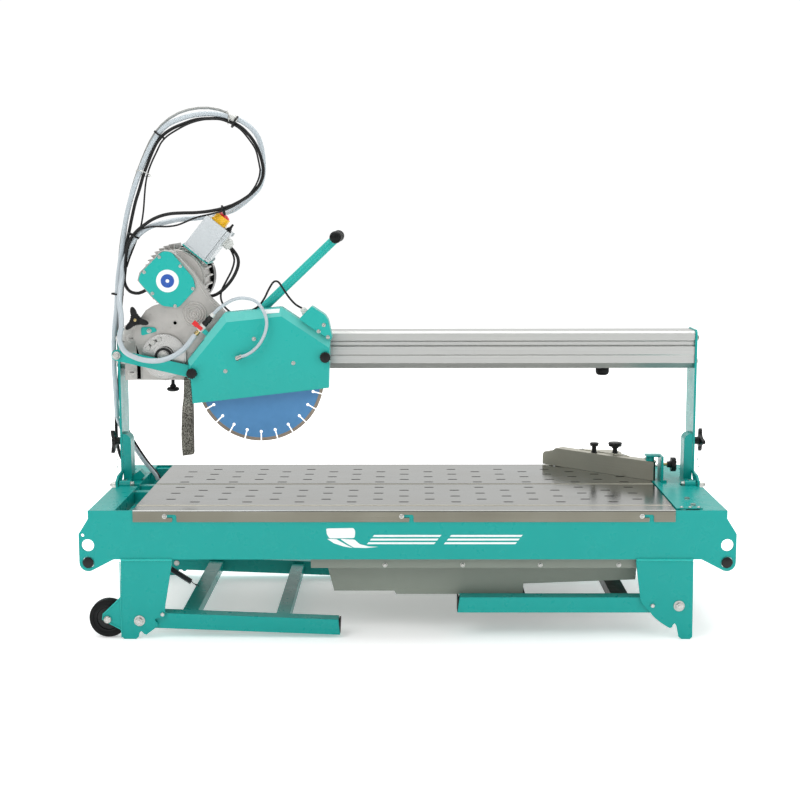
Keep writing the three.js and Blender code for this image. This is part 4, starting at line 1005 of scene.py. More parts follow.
def strand(name, route, r, finish, body=None, between=None):
    """A free run on one body, or on two with the start and end of the stretch that bends between them."""
    path = smooth_path([mm(*p) for p in route], 0.007)
    piece = from_bmesh(name, add_tube(bmesh.new(), path, r / 1000), finish, body, 60)
    if between:
        a, b, start, end = between
        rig.blend(piece, a, b, mm(*start), mm(*end))
    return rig.cord(piece, path[0], length_of(path), 2 * r / 1000, "object", "medium", "hanging", path=path)


def split_route(route, at):
    return route[:at + 1], route[at:]


def nearest(route, place):
    return min(range(len(route)), key=lambda i: (mm(*route[i]) - mm(*place)).length)


def long_run(name, up, loop, r, finish):
    """Up the rod on the bridge, out and down over the carriage, and back along the head."""
    if name == "power_cable":
        foot, up = split_route(up, BRACKET_END)
        strand("power_cable_foot", foot, r, finish, None, ("base", "bridge", foot[0], foot[-1]))
    strand(name + "_up", up, r, finish, "bridge")
    side, low = nearest(loop, LOOP_SIDE), nearest(loop, LOOP_LOW)
    arch, rest = split_route(loop, side)
    sag, last = split_route(rest, low - side)
    strand(name + "_arc", arch, r, finish, None, ("bridge", "carriage", ROD_TIP, LOOP_SIDE))
    strand(name + "_sag", sag, r, finish, None, ("carriage", "head", LOOP_SIDE, LOOP_LOW))
    if name == "water_hose":
        last, valve = split_route(last, len(last) - VALVE_BEND)
        strand("water_hose_valve", valve, r, finish, None, ("head", "guard", valve[0], valve[-1]))
    return strand(name + "_head", last, r, finish, "head")


def cables():
    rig.replaces(long_run("water_hose", HOSE_UP, HOSE_LOOP, HOSE_R, "clear_hose"), "feed_hose")
    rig.replaces(bpy.data.objects["water_hose_up"], "supply_lead")
    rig.replaces(long_run("power_cable", CABLE_UP, CABLE_LOOP, CABLE_R, "cable"), "cable_loop")
    long_run("signal_cable", THIN_UP, THIN_LOOP, THIN_R, "cable")
    for name, route, r, finish in (("pump_hose", PUMP_HOSE, PUMP_HOSE_R, "clear_hose"),
                                   ("pump_cable", PUMP_CABLE, PUMP_CABLE_R, "cable")):
        strand(name, route, r, finish, None, ("base", "bridge", route[-1], route[0]))
    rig.replaces(strand("motor_cable", MOTOR_CABLE, CABLE_R, "cable", "head"), "switch_cable")
    strand("lamp_feed", LAMP_FEED, LAMP_CABLE_R, "cable", "head")
    lead = strand("lamp_lead", LAMP_LEAD, LAMP_CABLE_R, "cable", None, ("head", "guard", LAMP_LEAD[1], LAMP_LEAD[-2]))
    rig.replaces(lead, "lamp_cable")
    spray = strand("guard_spray_hose", GUARD_HOSE, GUARD_HOSE_R, "clear_hose", None,
                   ("head", "guard", GUARD_HOSE[2], GUARD_HOSE[-2]))
    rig.replaces(spray, "guard_hose")


def cable_tie(body, place, axis, r):
    """A nylon band with its buckle around a bundle."""
    matrix = stand(mm(*place), axis)
    bm = pile(body, "black_plastic")
    add_lathe(bm, [(r, -0.0025), (r + 0.0014, -0.0022), (r + 0.0014, 0.0022), (r, 0.0025), (r, -0.0025)], matrix, 28)
    buckle = matrix @ Matrix.Translation((r + 0.0005, 0, -0.003)) @ Matrix.Rotation(math.radians(90), 4, "Y")
    add_prism(bm, rounded(rectangle(-0.006, 0, -0.003, 0.003), 0.001, 2),
              buckle @ Matrix.Translation((0, 0, -0.001)), 0.005, 0.0006, 2)


def wire_ring(body, place, axis, r):
    matrix = stand(mm(*place), axis)
    path = [matrix @ Vector((x, y, 0)) for x, y in circle(r, 40)]
    add_tube(pile(body, "zinc_steel"), path + path[:1], 0.0016, 8)


def cable_fittings():
    """Ties, wire rings and the white clamp that hold the cables to the rod and the head."""
    for place, axis, r in (((-812, 119, 700), (0, 0, 1), 0.0145), ((-812, 119, 860), (0.1, 0, 1), 0.0145),
                           ((-683, 119, 1299), (0.75, 0, 1), 0.0155), ((-474, 114, 1331), (1, 0, -0.6), 0.0150)):
        cable_tie("bridge", place, axis, r)
    cable_tie("head", (-505, 82, 1092), (1, 0.02, 0.3), 0.0135)
    cable_tie("head", (-757, 92, 1024), (0.5, 0, 1), 0.0140)
    for place, axis, r in (((-729, 118, 1193), (0.35, 0.3, 1), 0.021), ((-493, 121, 1345), (1, 0.25, 0.05), 0.018)):
        wire_ring("bridge", place, axis, r)
    clamp = pile("bridge", "white_plastic")
    matrix = stand(mm(-478, 118, 1343), (1, 0, -0.45))
    add_lathe(clamp, [(0.0074, -0.012), (0.0092, -0.011), (0.0092, -0.004), (0.0104, -0.003), (0.0104, 0.004),
                      (0.0092, 0.005), (0.0092, 0.013), (0.0074, 0.014), (0.0074, -0.012)], matrix, 24)


# ---- head: cover, arm and disc ---------------------------------------------------------------

def disc(body, finish, place, r, height, hole=0.0, axis=FRONT, bevel=0.0006, sides=40):
    """A washer or label: a flat ring standing on place."""
    matrix = stand(place, axis)
    inner = [(hole, 0), (hole, height)] if hole else [(0, 0), (0, height)]
    profile = [inner[0], (r, 0), (r, height - bevel), (r - bevel, height), inner[1]]
    add_lathe(pile(body, finish), profile + ([inner[0]] if hole else []), matrix, sides)


def front_screws(body, y, places, r):
    """Round-headed screws on the plane y, facing the operator, at (x, z) in millimetres."""
    for x, z in places:
        button_screw(body, Vector((x / 1000, y, z / 1000)), FRONT, r, washer=1.35)


def cover_trim():
    """Screws and the round label on the belt cover."""
    cover_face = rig.box("belt_cover")[0].y
    places = ((-673, 967), (-616, 942), (-583, 881), (-633, 834), (-694, 868), (-715, 926))
    front_screws("head", cover_face, places, 0.0036)
    centre = Vector((-0.652, cover_face, 0.902))
    disc("head", "white_mark", centre, 0.031, 0.0004, bevel=0.0001)
    disc("head", "blue_mark", centre + FRONT * 0.0003, 0.0185, 0.0004, bevel=0.0001)
    disc("head", "white_mark", centre + FRONT * 0.0006, 0.0050, 0.0003, bevel=0.0001)


def arm_trim():
    """Rings, studs and an oil hole on the arm's casting, its rim and the painted tab."""
    arm_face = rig.box("arm_casting")[0].y
    boss = stand((-0.581, arm_face + 0.0005, 0.811), FRONT)
    rings = []
    for r in (0.034, 0.027, 0.020, 0.013, 0.006):
        rings += [(r, 0.0008), (r - 0.0012, 0.0030), (r - 0.0034, 0.0030), (r - 0.0045, 0.0008)]
    add_lathe(pile("head", "casting"), [(0.0352, 0), *rings, (0, 0.0008), (0, 0)], boss, 48)
    for x, z, r in ((-597, 823, 3), (-590, 841, 4), (-575, 795, 3.2)):
        disc("head", "casting", Vector((x / 1000, arm_face, z / 1000)), r / 1000, 0.004, sides=16)
    hole = Vector((-0.635, arm_face, 0.787))
    # painted shade in the oil hole
    disc("head", "dark_hole", hole, 0.0048, 0.0005)
    disc("head", "casting", hole, 0.0072, 0.0012, hole=0.0048)
    rim = [(-678.5, 974.5), (-664.5, 982.5), (-636.5, 977.5), (-584.5, 923.5), (-566.5, 890.5), (-543.5, 854.5),
           (-517.5, 828.5)]
    rim = smooth_path([Vector((x / 1000, arm_face - 0.0005, z / 1000)) for x, z in rim], 0.005)
    add_tube(pile("head", "casting"), rim, 0.0022, 8)
    tab = rounded([(-0.728, 0.776), (-0.690, 0.775), (-0.684, 0.764), (-0.728, 0.752)], 0.006)
    add_prism(pile("head", "head_paint"), tab, face_on(arm_face), 0.004, 0.0008, 2)
    button_screw("head", Vector((-0.706, arm_face - 0.004, 0.766)), FRONT, 0.005)


def pivot_trim():
    """Bolts, turned rings, seal and nut of the disc that the head swings on."""
    pivot = Vector(joints["head_plunge"]["pos_m"])
    bolt_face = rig.box("pivot_shaft")[0].y + 0.0125

    def on_axis(y):
        return Vector((pivot.x, y, pivot.z))

    for a in (104, 128, 152):
        hex_bolt("head", on_axis(bolt_face) + around(math.radians(a)) * 0.048, FRONT, 0.0072, washer=1.2)
    for r, wide in ((0.058, 0.0014), (0.034, 0.0012)):
        disc("carriage", "machined", on_axis(0.0122), r, 0.0012, hole=r - wide)
    disc("carriage", "black_plastic", on_axis(0.0072), 0.0245, 0.0030, hole=0.0172, bevel=0.001)
    disc("carriage", "zinc_steel", on_axis(0.0024), 0.0140, 0.0024, bevel=0.0012)
    disc("carriage", "zinc_steel", on_axis(0.0004), 0.0085, 0.0016, hole=0.0052)
    spring = [on_axis(0.0115) + around(math.tau * i / 60) * (0.0262 + 0.0018 * math.sin(i / 5)) for i in range(60)]
    add_tube(pile("carriage", "black_plastic"), spring, 0.0012, 8)


def carriage_trim():
    """Slotted plugs, the wiper strip and the bolts of the carriage, and the pin of the guard's link."""
    face = 0.060
    for z in (0.742, 0.647):
        p = Vector((-0.764, face, z))
        disc("carriage", "zinc_steel", p, 0.0128, 0.0010, bevel=0.0004)
        disc("carriage", "zinc_steel", p + FRONT * 0.0010, 0.0098, 0.0012)
        # painted shade in the plug's slot
        add_prism(pile("carriage", "dark_hole"), rounded(rectangle(-0.006, 0.006, -0.0012, 0.0012), 0.0008, 2),
                  Matrix.Translation((p.x, p.y - 0.0021, p.z)) @ face_on(0), 0.0004)
    strip = rounded(rectangle(-0.751, -0.738, 0.628, 0.773), 0.002)
    add_prism(pile("carriage", "dark_hole"), strip, face_on(face), 0.0012, 0.0004, 1)
    for x in (-0.751, -0.738):
        edge = [Vector((x, face - 0.0006, z)) for z in (0.629, 0.772)]
        add_tube(pile("carriage", "casting"), edge, 0.0018, 8)
    link = Vector((-0.791, -0.0162, 0.701))
    disc("carriage", "zinc_steel", link, 0.0112, 0.0020, bevel=0.0008)
    disc("carriage", "zinc_steel", link + FRONT * 0.002, 0.0078, 0.0030, bevel=0.0014)
    for x in (-0.69, -0.64):
        for z in (0.628, 0.774):
            hex_bolt("carriage", Vector((x, 0.132, z)), (0, 0, 1 if z > 0.7 else -1), 0.007)
    for z in (0.66, 0.735):
        for x in (-0.76, -0.635):
            hex_bolt("carriage", Vector((x, 0.204, z)), Y, 0.0075)


def lock_knob():
    """The turned knob that locks the carriage."""
    lo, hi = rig.box("lock_knob")
    centre = (lo + hi) / 2
    top = hi.z - lo.z - 0.0008
    profile = [(0, top), (0.0048, top), (0.0052, 0.021), (0.0085, 0.018), (0.0090, 0.013), (0.0150, 0.0115),
               (0.0178, 0.008), (0.0172, 0.004), (0.0120, 0.0008), (0, 0)]
    piece = lathe("lock_knob_turned", profile, (centre.x, centre.y, lo.z), Z, "black_plastic", "lock_knob", 32, 40)
    stand_in(piece, "lock_knob", "black_plastic")


# ---- head: guard, lamp box and valve --------------------------------------------------------

def guard_trim():
    """Knobs, screws, blank label, spray nozzle and welds of the guard."""
    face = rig.box("guard_shell")[0].y + 0.014
    for x, z in ((-585, 653), (-222, 697)):
        bm = bmesh.new()
        lobed(bm, stand((x / 1000, face + 0.0002, z / 1000), FRONT), 0.0145, 0.0145, 7, 0.0028)
        from_bmesh(f"guard_knob_{'front' if x > -400 else 'back'}", bm, "black_plastic", "guard", 40)
    front_screws("guard", face, ((-415, 747), (-494, 659), (-309, 681)), 0.0042)
    label = [(-0.390, 0.8145), (-0.346, 0.8175), (-0.344, 0.8285), (-0.391, 0.8255)]
    bm = pile("guard", "white_mark")
    verts = [bm.verts.new((x, -0.0222 + (z - 0.807) * 0.48, z)) for x, z in label]
    back = [bm.verts.new((v.co.x, v.co.y + 0.0006, v.co.z)) for v in verts]
    bm.faces.new(verts)
    bm.faces.new(back[::-1])
    for i in range(4):
        bm.faces.new((verts[i], back[i], back[(i + 1) % 4], verts[(i + 1) % 4]))
    nozzle = stand((-0.450, -0.0365, 0.700), (-1, -0.25, -0.42))
    add_lathe(pile("guard", "zinc_steel"), [(0, -0.004), (0.0056, -0.004), (0.0062, -0.002), (0.0062, 0.006),
                                            (0.0072, 0.0065), (0.0072, 0.014), (0.0058, 0.0155), (0, 0.0155)],
              nozzle, 24)
    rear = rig.box("guard_shell")[1].y
    for (x0, z0), (x1, z1) in (((-0.495, 0.8165), (-0.5975, 0.690)), ((-0.341, 0.8315), (-0.209, 0.7435)),
                               ((-0.494, 0.8168), (-0.342, 0.8315))):
        weld("guard", Vector((x0, rear - 0.001, z0)), Vector((x1, rear - 0.001, z1)), 0.0014)


def lamp_trim():
    """Lid screws and the cable gland of the lamp box."""
    front_screws("guard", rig.box("lamp_box")[0].y, ((-225, 785), (-239, 768), (-214, 752)), 0.0040)
    gland = stand((-0.277, -0.005, 0.818), (-0.55, 0, 0.83))
    add_lathe(pile("guard", "white_plastic"), [(0, -0.004), (0.0100, -0.004), (0.0100, 0.002), (0.0085, 0.0025),
                                               (0.0085, 0.0095), (0.0062, 0.0125), (0.0040, 0.0135), (0, 0.0135)],
              gland, 12)


def valve_trim():
    """Ball body, hose tails, collar and clip of the water valve."""
    centre = mm(-561, -2, 774)
    along = around(math.radians(48))
    matrix = stand(centre, along, FRONT)
    bm = bmesh.new()
    add_lathe(bm, [(0, -0.0085), (0.0078, -0.0085), (0.0090, -0.006), (0.0094, 0.002), (0.0090, 0.010),
                   (0.0080, 0.0128), (0, 0.0128)], matrix, 24)
    add_lathe(bm, rectangle(0, 0.0056, 0, 0.0140), stand(centre + along * 0.002, FRONT), 18)
    piece = from_bmesh("valve_ball_body", bm, "white_plastic", "guard", 40)
    stand_in(piece, "valve_body", "light_plastic")
    tail = pile("guard", "black_plastic")
    add_lathe(tail, [(0, 0.0125), (0.0085, 0.0125), (0.0085, 0.022), (0.0072, 0.0225), (0.0072, 0.026),
                     (0.0084, 0.0265), (0.0084, 0.036), (0.0066, 0.0375), (0.0066, 0.044), (0, 0.044)], matrix, 10)
    add_lathe(pile("guard", "brass"), [(0, -0.0230), (0.0062, -0.0230), (0.0070, -0.0210), (0.0070, -0.0150),
                                       (0.0060, -0.0145), (0.0060, -0.0082), (0, -0.0082)], matrix, 24)
    collar = stand(centre + along * 0.0475, along)
    add_lathe(pile("guard", "white_plastic"), [(0, -0.004), (0.0068, -0.004), (0.0068, 0.004), (0.0050, 0.006),
                                               (0, 0.006)], collar, 20)
    clip = pile("guard", "head_paint")
    add_prism(clip, rounded(rectangle(-0.006, 0.006, -0.012, 0.012), 0.002),
              stand(centre + Vector((0.011, 0.002, -0.010)), FRONT, along), 0.004, 0.0006, 1)


# ---- switch box ------------------------------------------------------------------------------

SWITCH_TILT = math.radians(38.7)


def switch_trim():
    """Housing, ribbed lid, corner clips, yellow head of the stop button, toggle in its boot and cable gland."""
    motor = Vector(joints["motor_spin"]["pos_m"])
    place = Matrix.Translation((motor.x, 0, motor.z)) @ Matrix.Rotation(SWITCH_TILT, 4, "Y")
    side_on = Matrix((X, Z, -Y)).transposed().to_4x4()

    def block(bm, x0, x1, y0, y1, z0, z1, bevel=0.002, corner=0.003, steps=2):
        """A box with rounded edges between these millimetres in the switch box's own frame."""
        shape = rounded(rectangle(x0 / 1000, x1 / 1000, z0 / 1000, z1 / 1000), corner, 3)
        add_prism(bm, shape, place @ Matrix.Translation((0, y1 / 1000, 0)) @ side_on, (y1 - y0) / 1000, bevel, steps)

    bm = bmesh.new()
    block(bm, -40, 29.6, 60, 170, 88.4, 189.6)
    block(bm, -43, 31, 57.5, 172.5, 87.6, 93, 0.0012)
    block(bm, 30.2, 39.4, 58.5, 171.5, 89, 189, 0.0015)
    for x in (31.5, 34.2, 36.9):
        block(bm, x, x + 1.1, 57.7, 60, 95, 184, 0.0003, 0.0004, 1)
    corners = [(y, z) for z in (95, 183) for y in (66, 164)]
    for y, z in corners:
        block(bm, 38.5, 43, y - 6, y + 6, z - 6, z + 6, 0.0015, 0.002)
    piece = from_bmesh("switch_housing", bm, "light_plastic", "head", 35)
    stand_in(piece, "switch_box", "light_plastic")
    block(pile("head", "head_paint"), -44, 43.6, 56.4, 173.6, 84.5, 87.4, 0.0008)
    for y, z in corners:
        add_lathe(pile("head", "zinc_steel"), [(0, 0), (0.0032, 0), (0.0028, 0.0012), (0, 0.0014)],
                  place @ stand(mm(43, y, z), X), 14)
    yellow = pile("head", "yellow_plastic")
    block(yellow, -27, 17, 81, 125, 189.6, 196, 0.002, 0.004)
    add_lathe(yellow, [(0.0100, 0), (0.0218, 0), (0.0218, 0.0160), (0.0210, 0.0171), (0.0197, 0.0167),
                       (0.0197, 0.0060), (0.0100, 0.0060), (0.0100, 0)],
              place @ Matrix.Translation((-0.005, 0.103, 0.1955)), 40)
    boot = place @ Matrix.Translation((0.030, 0.092, 0.1895))
    add_lathe(pile("head", "black_plastic"), [(0, 0), (0.0095, 0), (0.0095, 0.002), (0.0072, 0.003), (0.0080, 0.0055),
                                              (0.0058, 0.0068), (0.0064, 0.0092), (0.0042, 0.0108), (0.0034, 0.0165),
                                              (0.0030, 0.0222), (0.0022, 0.0230), (0, 0.0232)], boot, 20)
    gland = place @ stand((0.0392, 0.110, 0.160), X)
    bm = bmesh.new()
    add_lathe(bm, [(0, 0), (0.0160, 0), (0.0160, 0.0034), (0.0135, 0.0040), (0.0135, 0.0060), (0, 0.0060)], gland, 24)
    add_lathe(bm, [(0, 0.0055), (0.0152, 0.0055), (0.0160, 0.0070), (0.0160, 0.0160), (0.0150, 0.0178),
                   (0, 0.0178)], gland, 8)
    add_lathe(bm, [(0, 0.017), (0.0128, 0.017), (0.0118, 0.0225), (0.0080, 0.0250), (0, 0.0250)], gland, 24)
    from_bmesh("switch_gland", bm, "white_plastic", "head", 35)


# ---- push handle, motor ----------------------------------------------------------------------

def push_handle():
    """A tube on a bolted foot plate, with a ribbed rubber grip across its end."""
    foot, grip = mm(-457, 39, 767), mm(-188, 39, 1022)
    along = (grip - foot).normalized()
    end = (grip - foot).length - 0.004
    bm = bmesh.new()
    add_lathe(bm, [(0, 0.004), (0.0125, 0.004), (0.0125, end - 0.008), (0.0100, end), (0, end)], stand(foot, along),
              32)
    across = stand(foot, along, Y)
    plate = stand(foot + Vector((0.0013, 0, 0.0014)), around(math.radians(40.95)), Y)
    add_prism(bm, rounded(rectangle(-0.0165, 0.0165, -0.0235, 0.0235), 0.004), plate, 0.0065, 0.0008, 2)
    piece = from_bmesh("handle_tube", bm, "tube_paint", "head", 40)
    stand_in(piece, "push_handle", "paint")
    bm = bmesh.new()
    profile = [(0, 0), (0.007, 0.0010), (0.0125, 0.0040), (0.0155, 0.009), (0.0163, 0.016), (0.0150, 0.024),
               (0.0135, 0.028)]
    for i in range(18):
        h = 0.030 + i * 0.0075
        profile += [(0.0140, h), (0.0152, h + 0.0012), (0.0152, h + 0.0046), (0.0140, h + 0.0058)]
    profile += [(0.0135, 0.168), (0.0155, 0.170), (0.0160, 0.176), (0.0120, 0.181), (0, 0.182)]
    add_lathe(bm, profile, stand((grip.x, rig.box("push_handle")[0].y, grip.z), Y), 32)
    from_bmesh("handle_grip", bm, "rubber", "head", 40)
    for x in (-0.0108, 0.0108):
        for y in (-0.018, 0.018):
            hex_bolt("head", plate @ Vector((x, y, 0.0065)), plate.to_3x3() @ Z, 0.0038, washer=1.3)
    # the weld round the tube's foot, in twelve short beads
    for k in range(12):
        t = math.tau * k / 12
        bead = [across @ Vector((0.0135 * math.cos(a), 0.0135 * math.sin(a), 0.0105)) for a in (t, t + 0.3, t + 0.62)]
        add_tube(pile("head", "paint"), bead, 0.0017, 6)


def fan_cowl():
    """The cowl over the motor's far end, with its grille, and the fan inside."""
    motor = Vector(joints["motor_spin"]["pos_m"])
    lo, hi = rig.box("fan_cowl")
    bm = bmesh.new()
    depth = hi.y - lo.y
    place = stand((motor.x, lo.y, motor.z), Y)
    add_lathe(bm, [(0.0830, 0), (0.0860, 0), (0.0860, depth - 0.012), (0.0835, depth - 0.004), (0.0780, depth),
                   (0.0600, depth), (0.0600, depth - 0.003), (0.0770, depth - 0.003), (0.0810, depth - 0.006),
                   (0.0830, depth - 0.012), (0.0830, 0)],
              place, 48)
    for r in (0.0100, 0.0200, 0.0300, 0.0400, 0.0500, 0.0600):
        hoop = rectangle(r - 0.0016, r + 0.0016, depth - 0.0028, depth)
        add_lathe(bm, hoop + hoop[:1], place, 40)
    for k in range(6):
        out = around(math.tau * k / 6)
        add_tube(bm, [Vector((motor.x, hi.y - 0.0028, motor.z)) + out * r for r in (0.002, 0.03, 0.062)], 0.0018, 6)
    piece = from_bmesh("cowl_grille", bm, "black_plastic", "head", 40)
    stand_in(piece, "fan_cowl", "black_plastic")
    fan = pile("motor_rotor", "light_plastic")
    vane = rounded([(0.014, -0.012), (0.072, -0.016), (0.072, 0.016), (0.014, 0.012)], 0.004)
    pitch = Matrix.Rotation(0.5 + math.radians(90), 4, "X")
    for k in range(9):
        spoke = Matrix.Translation((motor.x, hi.y - 0.022, motor.z)) @ Matrix.Rotation(math.tau * k / 9, 4, "Y")
        add_prism(fan, vane, spoke @ pitch, 0.0025)
    add_lathe(fan, [(0, 0), (0.018, 0), (0.018, 0.022), (0.015, 0.026), (0, 0.026)],
              stand((motor.x, hi.y - 0.034, motor.z), Y), 24)
    for k in range(4):
        out = around(math.radians(20 + 90 * k))
        button_screw("head", Vector((motor.x, lo.y + 0.018, motor.z)) + out * 0.0858, out, 0.0034)


def motor_body():
    """Cooling fins, longest where they stand out behind the belt cover, and the end shield with its bolts."""
    motor = Vector(joints["motor_spin"]["pos_m"])
    root, flat = 0.078, Matrix.Rotation(math.radians(-90), 4, "X")
    for k in range(27):
        a = 94 + 9 * k
        tip = 0.0955 if a < 178 else 0.0905
        fin = [(root, -0.0012), (tip - 0.001, -0.0010), (tip, 0), (tip - 0.001, 0.0010), (root, 0.0012)]
        place = Matrix.Translation((motor.x, 0.080, motor.z)) @ Matrix.Rotation(math.radians(-a), 4, "Y") @ flat
        add_prism(pile("head", "casting"), fin, place, 0.118)
    shield = pile("head", "casting")
    add_lathe(shield, [(0.062, 0), (0.0775, 0.001), (0.0795, 0.004), (0.0795, 0.014), (0.062, 0.014), (0.062, 0)],
              stand((motor.x, 0.064, motor.z), Y), 48)
    for k in range(4):
        spot = Vector((motor.x, 0.0645, motor.z)) + around(math.radians(8 + 90 * k)) * 0.070
        hex_bolt("head", spot, FRONT, 0.0050)


# ---- base: wheels, legs, bolts, welds and marks -----------------------------------------------

def repaint(node, finish, where):
    """Gives another finish to the faces of a CAD node for whose centre and normal where() holds."""
    data = frame["nodes"][node].data
    data.materials.append(M[finish])
    for polygon in data.polygons:
        if where(polygon.center, polygon.normal):
            polygon.material_index = len(data.materials) - 1


def repaint_fittings():
    for corner in ("front_left", "front_right", "rear_left", "rear_right"):
        repaint("foot_plate_" + corner, "zinc_steel", lambda c, n: abs(c.y) > 0.3205 or abs(c.y) < 0.3145)
    for side in ("left", "right"):
        repaint("tilt_bracket_" + side, "zinc_steel", lambda c, n: abs(c.x) > 0.8005 or (
            abs(c.y - 0.013) < 0.011 and abs(c.z - 0.338) < 0.011 and abs(c.x) < 0.7705))
    repaint("fence_guide", "zinc_steel", lambda c, n: c.z > 0.3400)
    repaint("fence_bar", "black_plastic", lambda c, n: c.z > 0.3955)
    repaint("fence_knob", "brass", lambda c, n: c.x < 0.7295)
    repaint("legs_right", "black_plastic", lambda c, n: abs(c.y) < 0.2715)
    # the guard's bevelled faces that look up and forward take the paler teal: painted sheen
    repaint("guard_shell", "fold_sheen_paint", lambda c, n: -0.97 < n.y < -0.15 and n.z > 0.1)


def wheel(node):
    """A turned tyre with two moulding grooves around a black hub."""
    lo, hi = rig.box(node)
    place = Vector(((lo.x + hi.x) / 2, lo.y, (lo.z + hi.z) / 2))
    tyre = [(0.033, 0.0030), (0.0385, 0.0022), (0.0395, 0.0010), (0.0455, 0.0004), (0.0488, 0.0024), (0.0500, 0.0065),
            (0.0500, 0.0120), (0.0490, 0.0132), (0.0490, 0.0148), (0.0500, 0.0160), (0.0500, 0.0215),
            (0.0488, 0.0256), (0.0455, 0.0276), (0.0395, 0.0270), (0.0385, 0.0258), (0.033, 0.0250), (0.033, 0.0030)]
    hub = [(0.0064, 0.0), (0.0115, 0.0), (0.0120, 0.0046), (0.0170, 0.0062), (0.0290, 0.0066), (0.0312, 0.0030),
           (0.0338, 0.0030), (0.0338, 0.0250), (0.0312, 0.0250), (0.0290, 0.0214), (0.0170, 0.0218), (0.0120, 0.0234),
           (0.0115, 0.0280), (0.0064, 0.0280), (0.0064, 0.0)]
    piece = lathe(node + "_tyre", tyre, place, Y, "rubber", node, 56, 40)
    stand_in(piece, node, "rubber")
    lathe(node + "_hub", hub, place, Y, "black_plastic", node, 40, 40)
    ribs = pile(node, "black_plastic")
    middle = place + Y * 0.014
    for k in range(6):
        out = around(math.tau * k / 6 + 0.2)
        for y in (-0.0068, 0.0068):
            add_tube(ribs, [middle + Y * y + out * r for r in (0.0115, 0.0295)], 0.0016, 6)


def leg_spring():
    """The closed coil that pulls the left legs up, with a hook on each end."""
    top, foot = mm(-634, -234, 173), mm(-548, -234, 116)
    along = (foot - top).normalized()
    matrix = frame_of(along, Y).to_3x3()
    length, turns, r, wire = (foot - top).length, 21, 0.0066, 0.0012
    start, end = 0.015, length - 0.022
    points = [top + along * 0.001 + matrix @ Vector((r * 0.75, 0, 0)), top + along * 0.009]
    for i in range(turns * 14 + 1):
        t = i / (turns * 14)
        a = math.tau * turns * t
        points.append(top + along * (start + (end - start) * t)
                      + matrix @ Vector((r * math.cos(a), r * math.sin(a), 0)))
    points += [top + along * (end + 0.004), foot - along * 0.010]
    points += [foot - along * 0.005 + matrix @ Vector((0.0052 * math.cos(a) + 0.001, 0, 0))
               + along * (0.0052 * math.sin(a)) for a in (math.radians(d) for d in (180, 225, 270, 315, 0, 40, 80))]
    bm = add_tube(bmesh.new(), points, wire, 7)
    piece = from_bmesh("leg_spring_coil", bm, "dark_steel", None, 60)
    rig.blend(piece, "base", "legs_left", top, foot)
    stand_in(piece, "leg_spring", "zinc_steel")


def base_bolts():
    """Bolts, caps, plugs and welds on both side plates, the tilt brackets' bolts and the plugs in the legs' ends."""
    for side in (-1, 1):
        out = Vector((0, side, 0))
        disc("base", "zinc_steel", mm(-770, side * 320, 52), 0.0096, 0.0070, axis=out, bevel=0.0026)
        disc("base", "machined", mm(-770, side * 326.8, 52), 0.0040, 0.0016, axis=out, bevel=0.0008, sides=6)
        for x, z in ((-688, 48.7), (696, 88)):
            disc("base", "zinc_steel", mm(x, side * 320.2, z), 0.0142, 0.0021, axis=out, bevel=0.0007)
            disc("base", "zinc_steel", mm(x, side * 322.2, z), 0.0112, 0.0016, axis=out, bevel=0.0012)
            disc("base", "machined", mm(x, side * 328, z), 0.0042, 0.0022, axis=out, bevel=0.0008, sides=20)
        for x, z in ((-628, 66), (628, 89)):
            disc("base", "machined", mm(x, side * 325, z), 0.0040, 0.0012, axis=out, bevel=0.0008, sides=20)
        # the welds under the rail and the lines along the folds take the lit teal: painted highlights on the beads and
        # bends
        for x0, x1 in ((-732, -601), (584, 729)):
            weld("base", mm(x0, side * 320.8, 209.4), mm(x1, side * 320.8, 209.4), 0.0034, "head_paint")
        fold = [mm(x, side * 321.0, z) for x, z in ((-734, 111), (-781, 66), (-783, 53), (-765, 42), (-736, 26))]
        add_tube(pile("base", "head_paint"), fold, 0.0016, 8)
        add_tube(pile("base", "head_paint"), [mm(-735, side * 320.6, z) for z in (205, 112, 26, 4)], 0.0011, 8)
        # round black plugs in the ends of the carry bars
        for x in (-815, 815):
            add_lathe(pile("base", "black_plastic"),
                      [(0, 0), (0.0142, 0), (0.0142, 0.0010), (0.0130, 0.0024), (0.0070, 0.0036), (0, 0.0040)],
                      stand(mm(x, side * 321.2, 202), out), 32)
        for x in (-57, 142, 341, 542):
            button_screw("base", mm(x, side * 305, 192), out, 0.0050, washer=1.25)
        for x in (-790, 790):
            weld("base", mm(x, side * 314.6, 297.6), mm(x, side * 314.6, 330), 0.0018)
    for x in (-1, 1):
        weld("base", mm(x * 775.2, 4, 337.6), mm(x * 775.2, 123, 337.6), 0.0016)
        add_lathe(pile("base", "zinc_steel"), [(0, 0), (0.0118, 0), (0.0122, 0.001), (0.0118, 0.002), (0, 0.002)],
                  stand(mm(x * 806.4, 13, 338), (x, 0, 0)), 28)
        for y in (30, 112):
            hex_bolt("base", mm(x * 786, y, 342.4), Z, 0.0062)
    half, lean = 0.0196, math.radians(2.2)
    plug = rounded(rectangle(-half, half, -half, half), 0.004)
    for body, sign, x, z, tilt in (("legs_left", 1, -688 + 513 * math.cos(lean), 29, lean),
                                   ("legs_right", -1, 131.5, 88, 0)):
        end = Matrix.Rotation(tilt, 4, "Y") @ frame_of((sign, 0, 0), Y) @ Matrix.Translation((0, 0, -0.001))
        for y in (-292.2, 292.2):
            add_prism(pile(body, "black_plastic"), plug, Matrix.Translation(mm(x, y, z)) @ end, 0.0042, 0.0016, 2)


